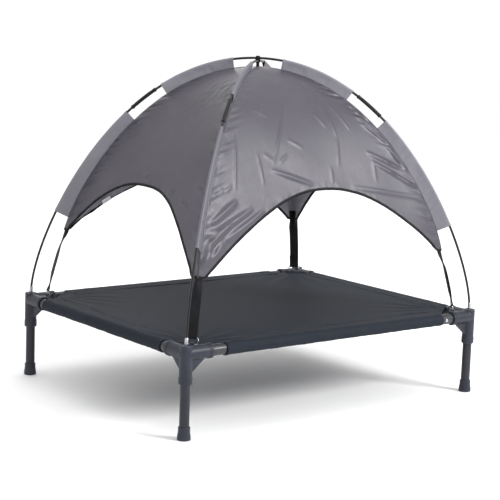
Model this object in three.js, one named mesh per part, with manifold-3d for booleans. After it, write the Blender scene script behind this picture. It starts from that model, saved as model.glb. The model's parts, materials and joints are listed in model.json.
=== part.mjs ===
// Raised dog bed with a dome canopy.
// A steel-tube frame on four legs holds a stretched fabric bed. Two bent fibreglass poles cross over
// it and carry a four-panel canopy, which elastic straps hold down at the corners.
// Millimetres, +Z up. The origin is on the floor below the middle of the bed, X along its long side.
import * as THREE from "three";
import { mergeVertices } from "three/addons/utils/BufferGeometryUtils.js";
import Module from "manifold-3d";

const wasm = await Module();
wasm.setup();

// ---------------------------------------------------------------- driving dimensions
const gap = 0.3; // between pieces that touch

// Bed
const bedLength = 760; // over the corner connectors
const bedWidth = 610;
const bedHeight = 180; // floor to the connectors' tops

// Legs and rails
const legDiameter = 19;
const legWall = 1.2;
const railDiameter = 22;
const railWall = 1.1;

// Corner connectors
const barrelWall = 3; // round the leg
const collarStep = 0.7; // thicker ring at the leg socket's mouth
const collarHeight = 14;
const collarChamfer = 2;
const barrelBottom = 106; // height of the leg socket's mouth
const socketWall = 2.5; // round a rail
const mouthStep = 1.2; // thicker ring at the rail socket's mouth
const mouthLength = 7;
const mouthDrop = 0.8; // connector top to that ring
const socketReach = 55; // leg axis to the rail socket's mouth
const railApart = 4; // more than a rail's radius, from the leg axis to a rail's inner end
const webTopDrop = 7; // connector top to the web's upper face
const webThickness = 8;
const webReach = 46; // leg axis to the web's outer corner along each rail
const webCorner = 13; // distance of that corner from the rail's axis
const legTopWall = 2; // plastic between the leg's end and the rail sockets
const gussetThickness = 6;
const gussetReach = 42;
const gussetDrop = 24; // below the rail socket
const poleHoleClearance = 0.5;
const poleSocketDepth = 24;

// Foot caps
const footWall = 3.5; // round the leg, at the floor
const footTopWall = 2; // and at the top
const footHeight = 25;
const footFloor = 4; // cap's thickness under the tube
const footChamfer = 1.5;

// Snap buttons in the long rails
const buttonDiameter = 7.5;
const buttonFlangeDiameter = 10;
const buttonFlangeThickness = 1.2;
const buttonProud = 2; // how far it stands out of the rail
const buttonBeforeSleeve = 9; // from its axis along the rail to the fabric sleeve

// Bed fabric
const fabricThickness = 1.6;
const sleeveLooseness = 0.4; // between a rail and its fabric sleeve
const longSleeveStart = 86; // leg axis to the sleeve's end along a long rail
const shortSleeveStart = 70; // and along a short rail
const bedSag = 10;

// Poles
const crownRise = 516; // connector tops to the upper pole's centre line at the crossing
const poleDiameter = 5;
const poleWall = 0.9;
const crownReach = 302; // how far the bend runs flat from the crown before it turns down
const footReach = 114; // how far it runs upright above the connector before it turns in
const shockCordDiameter = 1.5;
const ferruleWall = 0.85;
const ferruleBoreClearance = 0.45;
const ferruleLength = 64;
const tipWall = 0.4;
const tipBoreClearance = 0.6;
const tipCover = 14; // length of the tip above the connector
const tipFloor = 1.2;

// Canopy
const coverThickness = 1.6;
const finAtCrown = 17; // pole's centre line to the rib seam, at the crown
const finAtHem = 26; // and at the hem
const finTipPull = 9; // more, where the strap pulls the corner in
const cornerRise = 131; // pole's length from the connector to the canopy's corner
const frontArchRise = 262; // connector tops to the top of the arches over the long sides
const sideArchRise = 257; // and over the short sides
const archPower = 2.25; // roundness of an arch
const tipWidth = 22; // square end of a corner, where the strap is sewn on
const panelDip = 7; // how far a panel is drawn in between its ribs
const sleeveWall = 0.9;
const sleeveClearance = 0.7;
const sleeveCrownStart = 52; // pole's length from the crown to the upper sleeve
const ferruleWindow = 92; // bare length of the pole around a ferrule
const sleeveRise = 186; // pole's length from the connector to the lower sleeve
const bindingDiameter = 3;
const labelWidth = 22;
const labelHeight = 10;
const labelThickness = 0.6;
const labelPlace = 0.125; // share of the back panel's width, from its left rib
const labelRise = 9; // above the hem
const labelHang = 3; // how far it hangs off the cloth

// Apex tie
const tieBand = 6;
const tieWall = 1.2;
const tieClearance = 0.6;

// Straps and rings
const strapWidth = 20;
const strapThickness = 1.2;
const ringWire = 2.2;
const ringClearance = 1; // between the strap's edge and the ring's side
const ringHeight = 15;
const ringInset = 5; // web's edge to the ring
const catchWidth = 8;
const catchWall = 2.6;

// ---------------------------------------------------------------- derived sizes and places
const barrelDiameter = legDiameter + 2 * barrelWall;
const collarDiameter = barrelDiameter + 2 * collarStep;
const socketDiameter = railDiameter + 2 * socketWall;
const mouthDiameter = socketDiameter + 2 * mouthStep;
const railStart = railDiameter / 2 + railApart;
const footDiameter = legDiameter + 2 * footWall;
const footTopDiameter = legDiameter + 2 * footTopWall;
const poleBore = poleDiameter - 2 * poleWall;
const ferruleDiameter = poleDiameter + 2 * (ferruleBoreClearance + ferruleWall);
const tipDiameter = poleDiameter + 2 * (tipBoreClearance + tipWall);
const legX = bedLength / 2 - barrelDiameter / 2;
const legY = bedWidth / 2 - barrelDiameter / 2;
const legRadius = Math.hypot(legX, legY); // leg axis to the bed's middle, in plan
const railAxis = bedHeight - mouthDrop - mouthDiameter / 2;
const webTop = bedHeight - webTopDrop;
const legTop = railAxis - socketDiameter / 2 - legTopWall;
const poleRadius = poleDiameter / 2;
const crownHeight = bedHeight + crownRise;

const corners = {
  front_left: [-1, -1],
  front_right: [1, -1],
  back_left: [-1, 1],
  back_right: [1, 1],
};

// ---------------------------------------------------------------- materials
const material = (color, roughness, metalness = 0) =>
  new THREE.MeshStandardMaterial({ color, roughness, metalness });
const slatePlastic = material(0x43464f, 0.5);
const slatePaint = material(0x3f424a, 0.35, 0.3);
const bedCloth = material(0x2e3136, 0.85);
const canopyCloth = material(0x77737d, 0.5);
const sleeveCloth = material(0x85848c, 0.55);
const blackTape = material(0x1b1b1f, 0.8);
const blackFibreglass = material(0x1e1e22, 0.3);
const darkMetal = material(0x26262a, 0.35, 0.7);
const brightWire = material(0xc8c9cc, 0.2, 1);
const whiteTag = material(0xe8e8ea, 0.8);
const cordRubber = material(0xd8d8d4, 0.8);

// ---------------------------------------------------------------- geometry helpers
// A closed geometry as a solid that can be joined and cut.
function solid(geometry) {
  const bare = geometry.index ? geometry.toNonIndexed() : geometry.clone();
  bare.deleteAttribute("normal");
  bare.deleteAttribute("uv");
  const merged = mergeVertices(bare, 1e-4);
  return new wasm.Manifold(
    new wasm.Mesh({
      numProp: 3,
      vertProperties: new Float32Array(merged.attributes.position.array),
      triVerts: new Uint32Array(merged.index.array),
    }),
  );
}

function geometryOf(body) {
  const mesh = body.getMesh();
  const geometry = new THREE.BufferGeometry();
  geometry.setAttribute("position", new THREE.BufferAttribute(mesh.vertProperties, 3));
  geometry.setIndex(new THREE.BufferAttribute(mesh.triVerts, 1));
  return geometry;
}

const join = (...geometries) => geometries.map(solid).reduce((a, b) => a.add(b));
const cut = (body, ...geometries) => geometries.map(solid).reduce((a, b) => a.subtract(b), body);

// A round bar from a point along an axis.
const turned = { x: [0, 0, -Math.PI / 2], y: [0, 0, 0], z: [Math.PI / 2, 0, 0] };
function bar(axis, radius, from, length, at = [0, 0, 0], sides = 16) {
  const geometry = new THREE.CylinderGeometry(radius, radius, length, sides);
  geometry.translate(0, from + length / 2, 0);
  geometry.rotateX(turned[axis][0]);
  geometry.rotateZ(turned[axis][2]);
  return geometry.translate(...at);
}

// A profile of [radius, height] points, turned about the Z axis.
function lathe(points, sides = 16) {
  const profile = points.map(([radius, height]) => new THREE.Vector2(radius, height));
  const geometry = new THREE.LatheGeometry(profile, sides);
  return geometry.rotateX(Math.PI / 2);
}

function polygon(points) {
  return new THREE.Shape(points.map(([x, y]) => new THREE.Vector2(x, y)));
}

function circle(radius, sides) {
  const points = [];
  for (let i = 0; i < sides; i++) {
    const angle = (2 * Math.PI * i) / sides;
    points.push([radius * Math.cos(angle), radius * Math.sin(angle)]);
  }
  return polygon(points);
}

function annulus(outer, inner, sides, innerSides = sides) {
  const shape = circle(outer, sides);
  shape.holes.push(circle(inner, innerSides));
  return shape;
}

const extruded = (shape, depth, steps = 1) =>
  new THREE.ExtrudeGeometry(shape, { depth, steps, bevelEnabled: false });

// An open surface, made of rows of points, as a sheet with a thickness below its face.
function thickened(surface, thickness) {
  const merged = mergeVertices(surface, 1e-4);
  merged.computeVertexNormals();
  const place = merged.attributes.position;
  const normal = merged.attributes.normal;
  const face = Array.from(merged.index.array);
  const count = place.count;
  const points = Array.from(place.array);
  for (let i = 0; i < count; i++) {
    points.push(
      place.getX(i) - normal.getX(i) * thickness,
      place.getY(i) - normal.getY(i) * thickness,
      place.getZ(i) - normal.getZ(i) * thickness,
    );
  }
  const index = [...face];
  const edges = new Map();
  for (let i = 0; i < face.length; i += 3) {
    const [a, b, c] = face.slice(i, i + 3);
    index.push(a + count, c + count, b + count);
    for (const [from, to] of [[a, b], [b, c], [c, a]]) edges.set(`${from} ${to}`, [from, to]);
  }
  for (const [from, to] of edges.values()) {
    if (edges.has(`${to} ${from}`)) continue;
    index.push(to, from, from + count, to, from + count, to + count);
  }
  const geometry = new THREE.BufferGeometry();
  geometry.setAttribute("position", new THREE.Float32BufferAttribute(points, 3));
  geometry.setIndex(index);
  return geometry;
}

// The faces of a grid of points, without the ones that have no area.
function gridSurface(rows) {
  const triangles = [];
  const add = (a, b, c) => {
    const area = b.clone().sub(a).cross(c.clone().sub(a)).length();
    if (area > 1e-6) triangles.push(a, b, c);
  };
  for (let i = 0; i + 1 < rows.length; i++) {
    for (let j = 0; j + 1 < rows[i].length; j++) {
      add(rows[i][j], rows[i + 1][j], rows[i + 1][j + 1]);
      add(rows[i][j], rows[i + 1][j + 1], rows[i][j + 1]);
    }
  }
  return new THREE.BufferGeometry().setFromPoints(triangles);
}

// ---------------------------------------------------------------- the object
const bed = new THREE.Group();

function add(name, geometry, look) {
  const mesh = new THREE.Mesh(geometry, look);
  mesh.name = name;
  bed.add(mesh);
  return mesh;
}

// A piece made for the corner at the origin, whose bed lies towards +X and +Y.
function addAtCorner(name, corner, geometry, look) {
  const [sideX, sideY] = corners[corner];
  const mesh = add(`${name}_${corner}`, geometry, look);
  mesh.position.set(sideX * legX, sideY * legY, 0);
  mesh.scale.set(-sideX, -sideY, 1);
}

// Turns a corner's piece that is made facing +X so that it faces the bed's middle.
const towardsMiddle = Math.atan2(legY, legX);

// Leg axis to the strap ring, in that direction.
const webEdge = (webReach + webCorner) / (Math.cos(towardsMiddle) + Math.sin(towardsMiddle));
const ringPlace = webEdge - ringInset;

// ---------------------------------------------------------------- corner connectors
// The catch is an inverted L on the web: its lip holds down the lower bar of the strap ring.
function catchGeometry() {
  const barTop = webTop + 2 * gap + ringWire;
  const lipBottom = barTop + gap;
  const behindBar = ringPlace - ringWire / 2 - gap;
  const beyondBar = ringPlace + ringWire / 2 + 1;
  const side = polygon([
    [behindBar - catchWall, webTop - 1],
    [behindBar, webTop - 1],
    [behindBar, lipBottom],
    [beyondBar, lipBottom],
    [beyondBar, lipBottom + catchWall],
    [behindBar - catchWall, lipBottom + catchWall],
  ]);
  const geometry = extruded(side, catchWidth);
  geometry.translate(0, 0, -catchWidth / 2);
  geometry.rotateX(Math.PI / 2);
  return geometry.rotateZ(towardsMiddle);
}

function gusset() {
  const underSocket = railAxis - socketDiameter / 4;
  const low = railAxis - socketDiameter / 2 - gussetDrop;
  const side = polygon([
    [0, low],
    [barrelDiameter / 2, low],
    [gussetReach, railAxis - socketDiameter / 2 + 1],
    [gussetReach, underSocket],
    [0, underSocket],
  ]);
  const geometry = extruded(side, gussetThickness);
  geometry.translate(0, 0, -gussetThickness / 2);
  return geometry.rotateX(Math.PI / 2);
}

function connectorGeometry() {
  const barrel = lathe([
    [0, barrelBottom],
    [collarDiameter / 2 - collarChamfer, barrelBottom],
    [collarDiameter / 2, barrelBottom + collarChamfer],
    [collarDiameter / 2, barrelBottom + collarHeight],
    [barrelDiameter / 2, barrelBottom + collarHeight + collarChamfer],
    [barrelDiameter / 2, bedHeight - 1],
    [barrelDiameter / 2 - 1, bedHeight],
    [0, bedHeight],
  ]);
  const web = extruded(
    polygon([
      [0, 0],
      [webReach, 0],
      [webReach, webCorner],
      [webCorner, webReach],
      [0, webReach],
    ]),
    webThickness,
  ).translate(0, 0, webTop - webThickness);
  const mouthStart = socketReach - mouthLength;
  const arms = ["x", "y"].flatMap((axis) => [
    bar(axis, socketDiameter / 2, 0, socketReach - 1, [0, 0, railAxis]),
    bar(axis, mouthDiameter / 2, mouthStart, mouthLength, [0, 0, railAxis]),
  ]);
  const gussets = [gusset(), gusset().rotateZ(Math.PI / 2)];
  const bores = ["x", "y"].map((axis) =>
    bar(axis, railDiameter / 2 + gap, railStart - gap, socketReach, [0, 0, railAxis]),
  );
  return geometryOf(
    cut(
      join(barrel, web, ...arms, ...gussets, catchGeometry()),
      ...bores,
      bar("z", legDiameter / 2 + gap, barrelBottom - 1, legTop + gap - barrelBottom + 1),
      bar("z", tipDiameter / 2 + poleHoleClearance, bedHeight - poleSocketDepth, poleSocketDepth + 1),
    ),
  );
}

// ---------------------------------------------------------------- legs, feet and rails
function legGeometry() {
  const shape = annulus(legDiameter / 2, legDiameter / 2 - legWall, 16);
  const bottom = footFloor + gap;
  return extruded(shape, legTop - bottom).translate(0, 0, bottom);
}

function footGeometry() {
  const bore = legDiameter / 2 + gap;
  return lathe([
    [0, 0],
    [footDiameter / 2 - footChamfer, 0],
    [footDiameter / 2, footChamfer],
    [footDiameter / 2 - 0.4, footHeight / 3],
    [footTopDiameter / 2, footHeight * 0.6],
    [footTopDiameter / 2, footHeight],
    [bore, footHeight],
    [bore, footFloor],
    [0, footFloor],
  ]);
}

const halfRail = { x: legX - railStart, y: legY - railStart };

function railGeometry(axis) {
  const half = halfRail[axis];
  return cut(
    solid(bar(axis, railDiameter / 2, -half, 2 * half)),
    bar(axis, railDiameter / 2 - railWall, -half - 1, 2 * half + 2),
  );
}

// The button points out of the rail, towards -Y, and its flange is inside the tube.
function buttonGeometry() {
  const boreRadius = railDiameter / 2 - railWall;
  const flangeTop = Math.sqrt(boreRadius ** 2 - (buttonFlangeDiameter / 2) ** 2) - gap;
  const top = railDiameter / 2 + buttonProud;
  return lathe(
    [
      [0, flangeTop - buttonFlangeThickness],
      [buttonFlangeDiameter / 2, flangeTop - buttonFlangeThickness],
      [buttonFlangeDiameter / 2, flangeTop],
      [buttonDiameter / 2, flangeTop],
      [buttonDiameter / 2, top - 1],
      [buttonDiameter / 2 - 1, top],
      [0, top],
    ],
    12,
  ).rotateX(Math.PI / 2);
}

// ---------------------------------------------------------------- bed fabric
function bedFabricGeometry() {
  const sleeveInside = railDiameter / 2 + sleeveLooseness;
  const sleeveOutside = sleeveInside + fabricThickness;
  const top = railAxis + sleeveOutside;
  const columns = 10;
  const rowCount = 8;
  const rows = [];
  for (let i = 0; i <= rowCount; i++) {
    const v = 1 - (2 * i) / rowCount;
    const row = [];
    for (let j = 0; j <= columns; j++) {
      const u = (2 * j) / columns - 1;
      const sag = bedSag * (1 - u * u) * (1 - v * v);
      row.push(new THREE.Vector3(u * legX, v * legY, top - sag));
    }
    rows.push(row);
  }
  let fabric = solid(thickened(gridSurface(rows), fabricThickness - gap / 3));
  const cornerCut = extruded(
    polygon([
      [legX + 20, legY + 20],
      [-20 + legX - longSleeveStart, legY + 20],
      [legX - longSleeveStart, legY],
      [legX, legY - shortSleeveStart],
      [legX + 20, legY - shortSleeveStart - 20],
    ]),
    2 * railDiameter,
  ).translate(0, 0, railAxis - railDiameter);
  for (const [sideX, sideY] of Object.values(corners)) {
    const piece = cornerCut.clone();
    fabric = fabric.subtract(solid(piece).scale([sideX, sideY, 1]));
  }
  const sleeves = [
    ["x", legX - longSleeveStart, [0, -legY, railAxis]],
    ["x", legX - longSleeveStart, [0, legY, railAxis]],
    ["y", legY - shortSleeveStart, [-legX, 0, railAxis]],
    ["y", legY - shortSleeveStart, [legX, 0, railAxis]],
  ];
  for (const [axis, half, at] of sleeves) {
    fabric = fabric.add(solid(bar(axis, sleeveOutside, -half, 2 * half, at)));
  }
  for (const [axis, half, at] of sleeves) {
    fabric = fabric.subtract(solid(bar(axis, sleeveInside, -half - 5, 2 * half + 10, at)));
  }
  return geometryOf(fabric);
}

// ---------------------------------------------------------------- poles
// A pole lies in an upright plane through the bed's middle. Its length s is counted from the crown,
// positive towards one end, and its frame there has a point, a direction and an outward normal.
class Pole {
  constructor(crown) {
    this.half = new THREE.CurvePath();
    this.half.add(
      new THREE.CubicBezierCurve(
        new THREE.Vector2(0, crown),
        new THREE.Vector2(crownReach, crown),
        new THREE.Vector2(legRadius, bedHeight + footReach),
        new THREE.Vector2(legRadius, bedHeight),
      ),
    );
    this.bentLength = this.half.getLength();
    const socketFloor = bedHeight - poleSocketDepth;
    this.half.add(
      new THREE.LineCurve(
        new THREE.Vector2(legRadius, bedHeight),
        new THREE.Vector2(legRadius, socketFloor),
      ),
    );
    this.length = this.half.getLength();
  }

  frame(s) {
    const share = Math.min(Math.abs(s) / this.length, 1);
    const step = 1e-4;
    const before = this.half.getPoint(Math.max(share - step, 0));
    const after = this.half.getPoint(Math.min(share + step, 1));
    const way = after.sub(before).normalize();
    const at = this.half.getPoint(share);
    const side = s < 0 ? -1 : 1;
    return {
      radius: side * at.x,
      height: at.y,
      normalRadius: side * -way.y,
      normalHeight: way.x,
    };
  }

  // A point beside the pole: out along its normal and across its plane.
  place(s, out, across, angle) {
    const at = this.frame(s);
    const radius = at.radius + out * at.normalRadius;
    const height = at.height + out * at.normalHeight;
    const [x, y] = [Math.cos(angle), Math.sin(angle)];
    return new THREE.Vector3(radius * x + across * y, radius * y - across * x, height);
  }
}

const upperPole = new Pole(crownHeight);
const lowerPole = new Pole(crownHeight - poleDiameter - 2 * gap);
const frontRight = -towardsMiddle;
const backRight = towardsMiddle;
const poles = {
  a: { shape: upperPole, angle: frontRight, ends: ["back_left", "front_right"] },
  b: { shape: lowerPole, angle: backRight, ends: ["front_left", "back_right"] },
};

// Bends a straight extrusion so that it follows a pole from one length to another.
function alongPole({ shape, angle }, section, from, to, stepLength, outAt = (out) => out) {
  const steps = Math.max(1, Math.round((to - from) / stepLength));
  const geometry = extruded(section, to - from, steps);
  const place = geometry.attributes.position;
  for (let i = 0; i < place.count; i++) {
    const s = from + place.getZ(i);
    const point = shape.place(s, outAt(place.getX(i), s), place.getY(i), angle);
    place.setXYZ(i, point.x, point.y, point.z);
  }
  return geometry;
}

const jointArc = upperPole.length / 3; // where the sections of a pole meet

function addPole(name, pole) {
  const { length } = pole.shape;
  const end = length - tipFloor - gap;
  const tube = annulus(poleRadius, poleBore / 2, 8, 5);
  const stretches = {
    left: [-end, -jointArc - gap / 2],
    middle: [-jointArc + gap / 2, jointArc - gap / 2],
    right: [jointArc + gap / 2, end],
  };
  for (const [part, [from, to]] of Object.entries(stretches)) {
    add(`pole_${name}_${part}`, alongPole(pole, tube, from, to, 27), blackFibreglass);
  }
  const cord = circle(shockCordDiameter / 2, 5);
  const cordEnd = end - 8;
  add(`shock_cord_${name}`, alongPole(pole, cord, -cordEnd, cordEnd, 24), cordRubber);

  pole.ends.forEach((corner, side) => {
    const way = side ? 1 : -1;
    const stretch = (a, b) => (way > 0 ? [a, b] : [-b, -a]);
    const ferruleInside = poleRadius + ferruleBoreClearance;
    add(
      `ferrule_${corner}`,
      alongPole(
        pole,
        annulus(ferruleDiameter / 2, ferruleInside, 8),
        ...stretch(jointArc - ferruleLength / 2, jointArc + ferruleLength / 2),
        16,
      ),
      darkMetal,
    );
    const tipTube = annulus(tipDiameter / 2, poleRadius + tipBoreClearance, 8);
    const tipStart = pole.shape.bentLength - tipCover;
    const walls = alongPole(pole, tipTube, ...stretch(tipStart, length - 0.5), 6);
    const floor = alongPole(
      pole,
      circle(tipDiameter / 2, 8),
      ...stretch(length - tipFloor, length - gap),
      6,
    );
    add(`pole_tip_${corner}`, geometryOf(join(walls, floor)), brightWire);
  });
}

// ---------------------------------------------------------------- canopy
const hemArc = upperPole.bentLength - cornerRise; // rib's length from the crown to the corner

// The rib seam runs under a pole, at the fin's height inside it.
function finHeight(s) {
  const share = s / hemArc;
  return finAtCrown + (finAtHem - finAtCrown) * share + finTipPull * share ** 12;
}

function seam(s) {
  const at = upperPole.frame(s);
  const fin = finHeight(s);
  return {
    radius: at.radius - fin * at.normalRadius,
    height: at.height - fin * at.normalHeight,
  };
}

const tipHeight = seam(hemArc).height;

function seamArcAt(height) {
  let low = 0;
  let high = hemArc;
  for (let i = 0; i < 40; i++) {
    const middle = (low + high) / 2;
    if (seam(middle).height > height) low = middle;
    else high = middle;
  }
  return high;
}

// Each panel spans two ribs, given by the angles of their corners in plan.
const panel = (from, to, rise, width) => ({ from, to, arch: bedHeight + rise, width });
const panels = {
  front: panel(Math.PI + towardsMiddle, -towardsMiddle, frontArchRise, legX),
  right: panel(-towardsMiddle, towardsMiddle, sideArchRise, legY),
  back: panel(towardsMiddle, Math.PI - towardsMiddle, frontArchRise, legX),
  left: panel(Math.PI - towardsMiddle, Math.PI + towardsMiddle, sideArchRise, legY),
};

// Height of a panel's hem across the panel, 0 at one rib and 1 at the other.
function hemHeight({ arch, width }, across) {
  const share = Math.min(1, Math.abs(2 * across - 1) * (1 + tipWidth / 2 / width));
  return arch - (arch - tipHeight) * share ** archPower;
}

function panelPoint(panel, across, s) {
  const { radius, height } = seam(s);
  const from = new THREE.Vector3(Math.cos(panel.from), Math.sin(panel.from), 0);
  const to = new THREE.Vector3(Math.cos(panel.to), Math.sin(panel.to), 0);
  const dip = panelDip * Math.sin(Math.PI * across) * Math.sin((Math.PI * s) / upperPole.length);
  const inward = from.clone().add(to).normalize().multiplyScalar(-dip);
  return from.lerp(to, across).multiplyScalar(radius).add(inward).setZ(height);
}

// Places across a panel, with one at each side of a corner's square end.
function sharesAcross(panel) {
  const columns = 16;
  const tip = tipWidth / 4 / panel.width;
  const shares = [0];
  for (let j = 0; j <= columns; j++) shares.push(tip + ((1 - 2 * tip) * j) / columns);
  return [...shares, 1];
}

const hemArcAt = (panel, across) => seamArcAt(hemHeight(panel, across));

function coverGeometry() {
  const rowCount = 7;
  const triangles = [];
  for (const panel of Object.values(panels)) {
    const rows = [];
    for (let i = 0; i <= rowCount; i++) {
      const row = [];
      for (const across of sharesAcross(panel)) {
        row.push(panelPoint(panel, across, (hemArcAt(panel, across) * i) / rowCount));
      }
      rows.push(row);
    }
    triangles.push(gridSurface(rows));
  }
  const points = triangles.flatMap((surface) => Array.from(surface.attributes.position.array));
  const surface = new THREE.BufferGeometry();
  surface.setAttribute("position", new THREE.Float32BufferAttribute(points, 3));
  return thickened(surface, coverThickness);
}

// The tape along an arch lies just below the hem, in line with the panel.
function bindingGeometry(panel) {
  const clear = 0.035; // share of the width left bare at each corner
  const points = [];
  const count = 22;
  for (let i = 0; i <= count; i++) {
    const across = clear + ((1 - 2 * clear) * i) / count;
    const step = 0.002;
    const at = (share) => panelPoint(panel, share, hemArcAt(panel, share));
    const along = at(across + step).sub(at(across - step));
    const s = hemArcAt(panel, across);
    const down = panelPoint(panel, across, s).sub(panelPoint(panel, across, s - 1));
    const facing = down.clone().cross(along).normalize();
    const out = along.clone().cross(facing).normalize();
    const point = at(across);
    point.addScaledVector(out, bindingDiameter / 2 + 4 * gap);
    point.addScaledVector(facing, -coverThickness / 2);
    points.push(point);
  }
  const path = new THREE.CatmullRomCurve3(points);
  return new THREE.ExtrudeGeometry(circle(bindingDiameter / 2, 6), {
    steps: 26,
    extrudePath: path,
    bevelEnabled: false,
  });
}

// A blank tag on the inside of the back panel, near its left corner.
function labelMesh() {
  const panel = panels.back;
  const across = 1 - labelPlace;
  const s = hemArcAt(panel, across) - labelRise - labelHeight / 2;
  const at = panelPoint(panel, across, s);
  const edge = (share) => panelPoint(panel, share, hemArcAt(panel, share));
  const along = edge(across + 0.01).sub(edge(across - 0.01)).normalize();
  const down = panelPoint(panel, across, s + 1).sub(at).normalize();
  const facing = down.clone().cross(along).normalize();
  const up = facing.clone().cross(along).normalize();
  const tag = new THREE.BoxGeometry(labelWidth, labelHeight, labelThickness);
  const mesh = add("care_label", tag, whiteTag);
  mesh.matrixAutoUpdate = false;
  mesh.matrix.makeBasis(along, up, along.clone().cross(up));
  const inside = coverThickness + labelThickness / 2 + labelHang;
  mesh.matrix.setPosition(at.addScaledVector(facing, -inside));
}

// A sleeve is a strip folded round the pole, whose two layers meet in a fin down to the rib seam.
function sleeveSection() {
  const inside = poleRadius + sleeveClearance;
  const outside = inside + sleeveWall;
  const fin = sleeveWall; // the two layers of the fin, pressed together, are this thick each side
  const points = [];
  const start = Math.PI - Math.asin(fin / outside);
  const count = 7;
  for (let i = 0; i <= count; i++) {
    const angle = -start + (2 * start * i) / count;
    points.push([outside * Math.cos(angle), outside * Math.sin(angle)]);
  }
  points.push([-2 * outside, fin], [-2 * outside, -fin]);
  const shape = polygon(points);
  shape.holes.push(circle(inside, 6));
  return shape;
}

// The seam's points as a chain, to find how deep the fin has to be at each place on a pole.
const seamChain = [];
for (let s = 0; s <= hemArc; s += 4) seamChain.push(seam(s));

function seamDistance(pole, s) {
  const at = pole.shape.frame(Math.abs(s));
  let nearest = Infinity;
  for (const point of seamChain) {
    nearest = Math.min(nearest, Math.hypot(point.radius - at.radius, point.height - at.height));
  }
  return nearest;
}

function addSleeves(pole) {
  const section = sleeveSection();
  const finEdge = poleRadius + sleeveClearance + sleeveWall;
  pole.ends.forEach((corner, side) => {
    const stretches = {
      upper: [sleeveCrownStart, jointArc - ferruleWindow / 2],
      lower: [jointArc + ferruleWindow / 2, pole.shape.bentLength - sleeveRise],
    };
    for (const [part, [from, to]] of Object.entries(stretches)) {
      const ends = side ? [from, to] : [-to, -from];
      const reach = (out, s) => (out < -finEdge - 1 ? -(seamDistance(pole, s) - 2 * gap) : out);
      add(
        `pole_sleeve_${part}_${corner}`,
        alongPole(pole, section, ...ends, 28, reach),
        sleeveCloth,
      );
    }
  });
}

// The tie is a band round both poles where they cross, with a tab down to the canopy.
function tieGeometry() {
  const spread = (tieBand / 2) * Math.tan(towardsMiddle) + poleRadius / Math.cos(towardsMiddle);
  const halfInside = spread + tieClearance;
  const halfOutside = halfInside + tieWall;
  const insideTop = crownHeight + poleRadius + tieClearance;
  const insideBottom = crownHeight - poleDiameter - 2 * gap - poleRadius - tieClearance;
  const tabBottom = crownHeight - finAtCrown + 2 * gap;
  const corner = 2;
  const shape = polygon([
    [-tieWall, tabBottom],
    [tieWall, tabBottom],
    [tieWall, insideBottom - tieWall],
    [halfOutside - corner, insideBottom - tieWall],
    [halfOutside, insideBottom - tieWall + corner],
    [halfOutside, insideTop + tieWall - corner],
    [halfOutside - corner, insideTop + tieWall],
    [corner - halfOutside, insideTop + tieWall],
    [-halfOutside, insideTop + tieWall - corner],
    [-halfOutside, insideBottom - tieWall + corner],
    [corner - halfOutside, insideBottom - tieWall],
    [-tieWall, insideBottom - tieWall],
  ]);
  shape.holes.push(
    polygon([
      [-halfInside, insideBottom],
      [halfInside, insideBottom],
      [halfInside, insideTop],
      [-halfInside, insideTop],
    ]),
  );
  const geometry = extruded(shape, tieBand).translate(0, 0, -tieBand / 2);
  geometry.rotateX(Math.PI / 2);
  return geometry.rotateZ(Math.PI / 2);
}

// ---------------------------------------------------------------- straps and rings
const ringBottom = webTop + gap; // lowest point of the ring's wire
const ringTop = ringBottom + ringHeight;

// The ring is a rounded rectangle of wire that stands across the line to the bed's middle. It is a
// torus whose middle circle is drawn out into that outline.
function ringGeometry() {
  const halfWidth = strapWidth / 2 + ringClearance + ringWire / 2;
  const halfHeight = (ringHeight - ringWire) / 2;
  const middle = (ringBottom + ringTop) / 2;
  const squared = (share) => Math.sign(share) * Math.abs(share) ** 0.5;
  const outline = (angle) =>
    new THREE.Vector2(halfWidth * squared(Math.cos(angle)), halfHeight * squared(Math.sin(angle)));
  const unit = 10;
  const geometry = new THREE.TorusGeometry(unit, ringWire / 2, 6, 24);
  const place = geometry.attributes.position;
  for (let i = 0; i < place.count; i++) {
    const angle = Math.atan2(place.getY(i), place.getX(i));
    const out = Math.hypot(place.getX(i), place.getY(i)) - unit;
    const at = outline(angle);
    const along = outline(angle + 0.01).sub(outline(angle - 0.01)).normalize();
    const across = at.x + out * along.y;
    const height = middle + at.y - out * along.x;
    place.setXYZ(i, ringPlace + place.getZ(i), across, height);
  }
  return geometry.rotateZ(towardsMiddle);
}

// A flat strap from the ring's top bar to the canopy's corner.
function strapGeometry() {
  const bottom = { out: ringPlace, height: ringTop + gap };
  const top = { out: legRadius - seam(hemArc).radius, height: tipHeight - 2 * gap };
  const half = strapThickness / 2;
  const side = polygon([
    [bottom.out - half, bottom.height],
    [bottom.out + half, bottom.height],
    [top.out + half, top.height],
    [top.out - half, top.height],
  ]);
  const geometry = extruded(side, strapWidth);
  geometry.translate(0, 0, -strapWidth / 2);
  geometry.rotateX(Math.PI / 2);
  return geometry.rotateZ(towardsMiddle);
}

// ---------------------------------------------------------------- assembly
for (const corner of Object.keys(corners)) {
  addAtCorner("corner_connector", corner, connectorGeometry(), slatePlastic);
  addAtCorner("leg", corner, legGeometry(), slatePaint);
  addAtCorner("foot_cap", corner, footGeometry(), slatePlastic);
  addAtCorner("strap_ring", corner, ringGeometry(), brightWire);
  addAtCorner("corner_strap", corner, strapGeometry(), blackTape);
}

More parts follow.
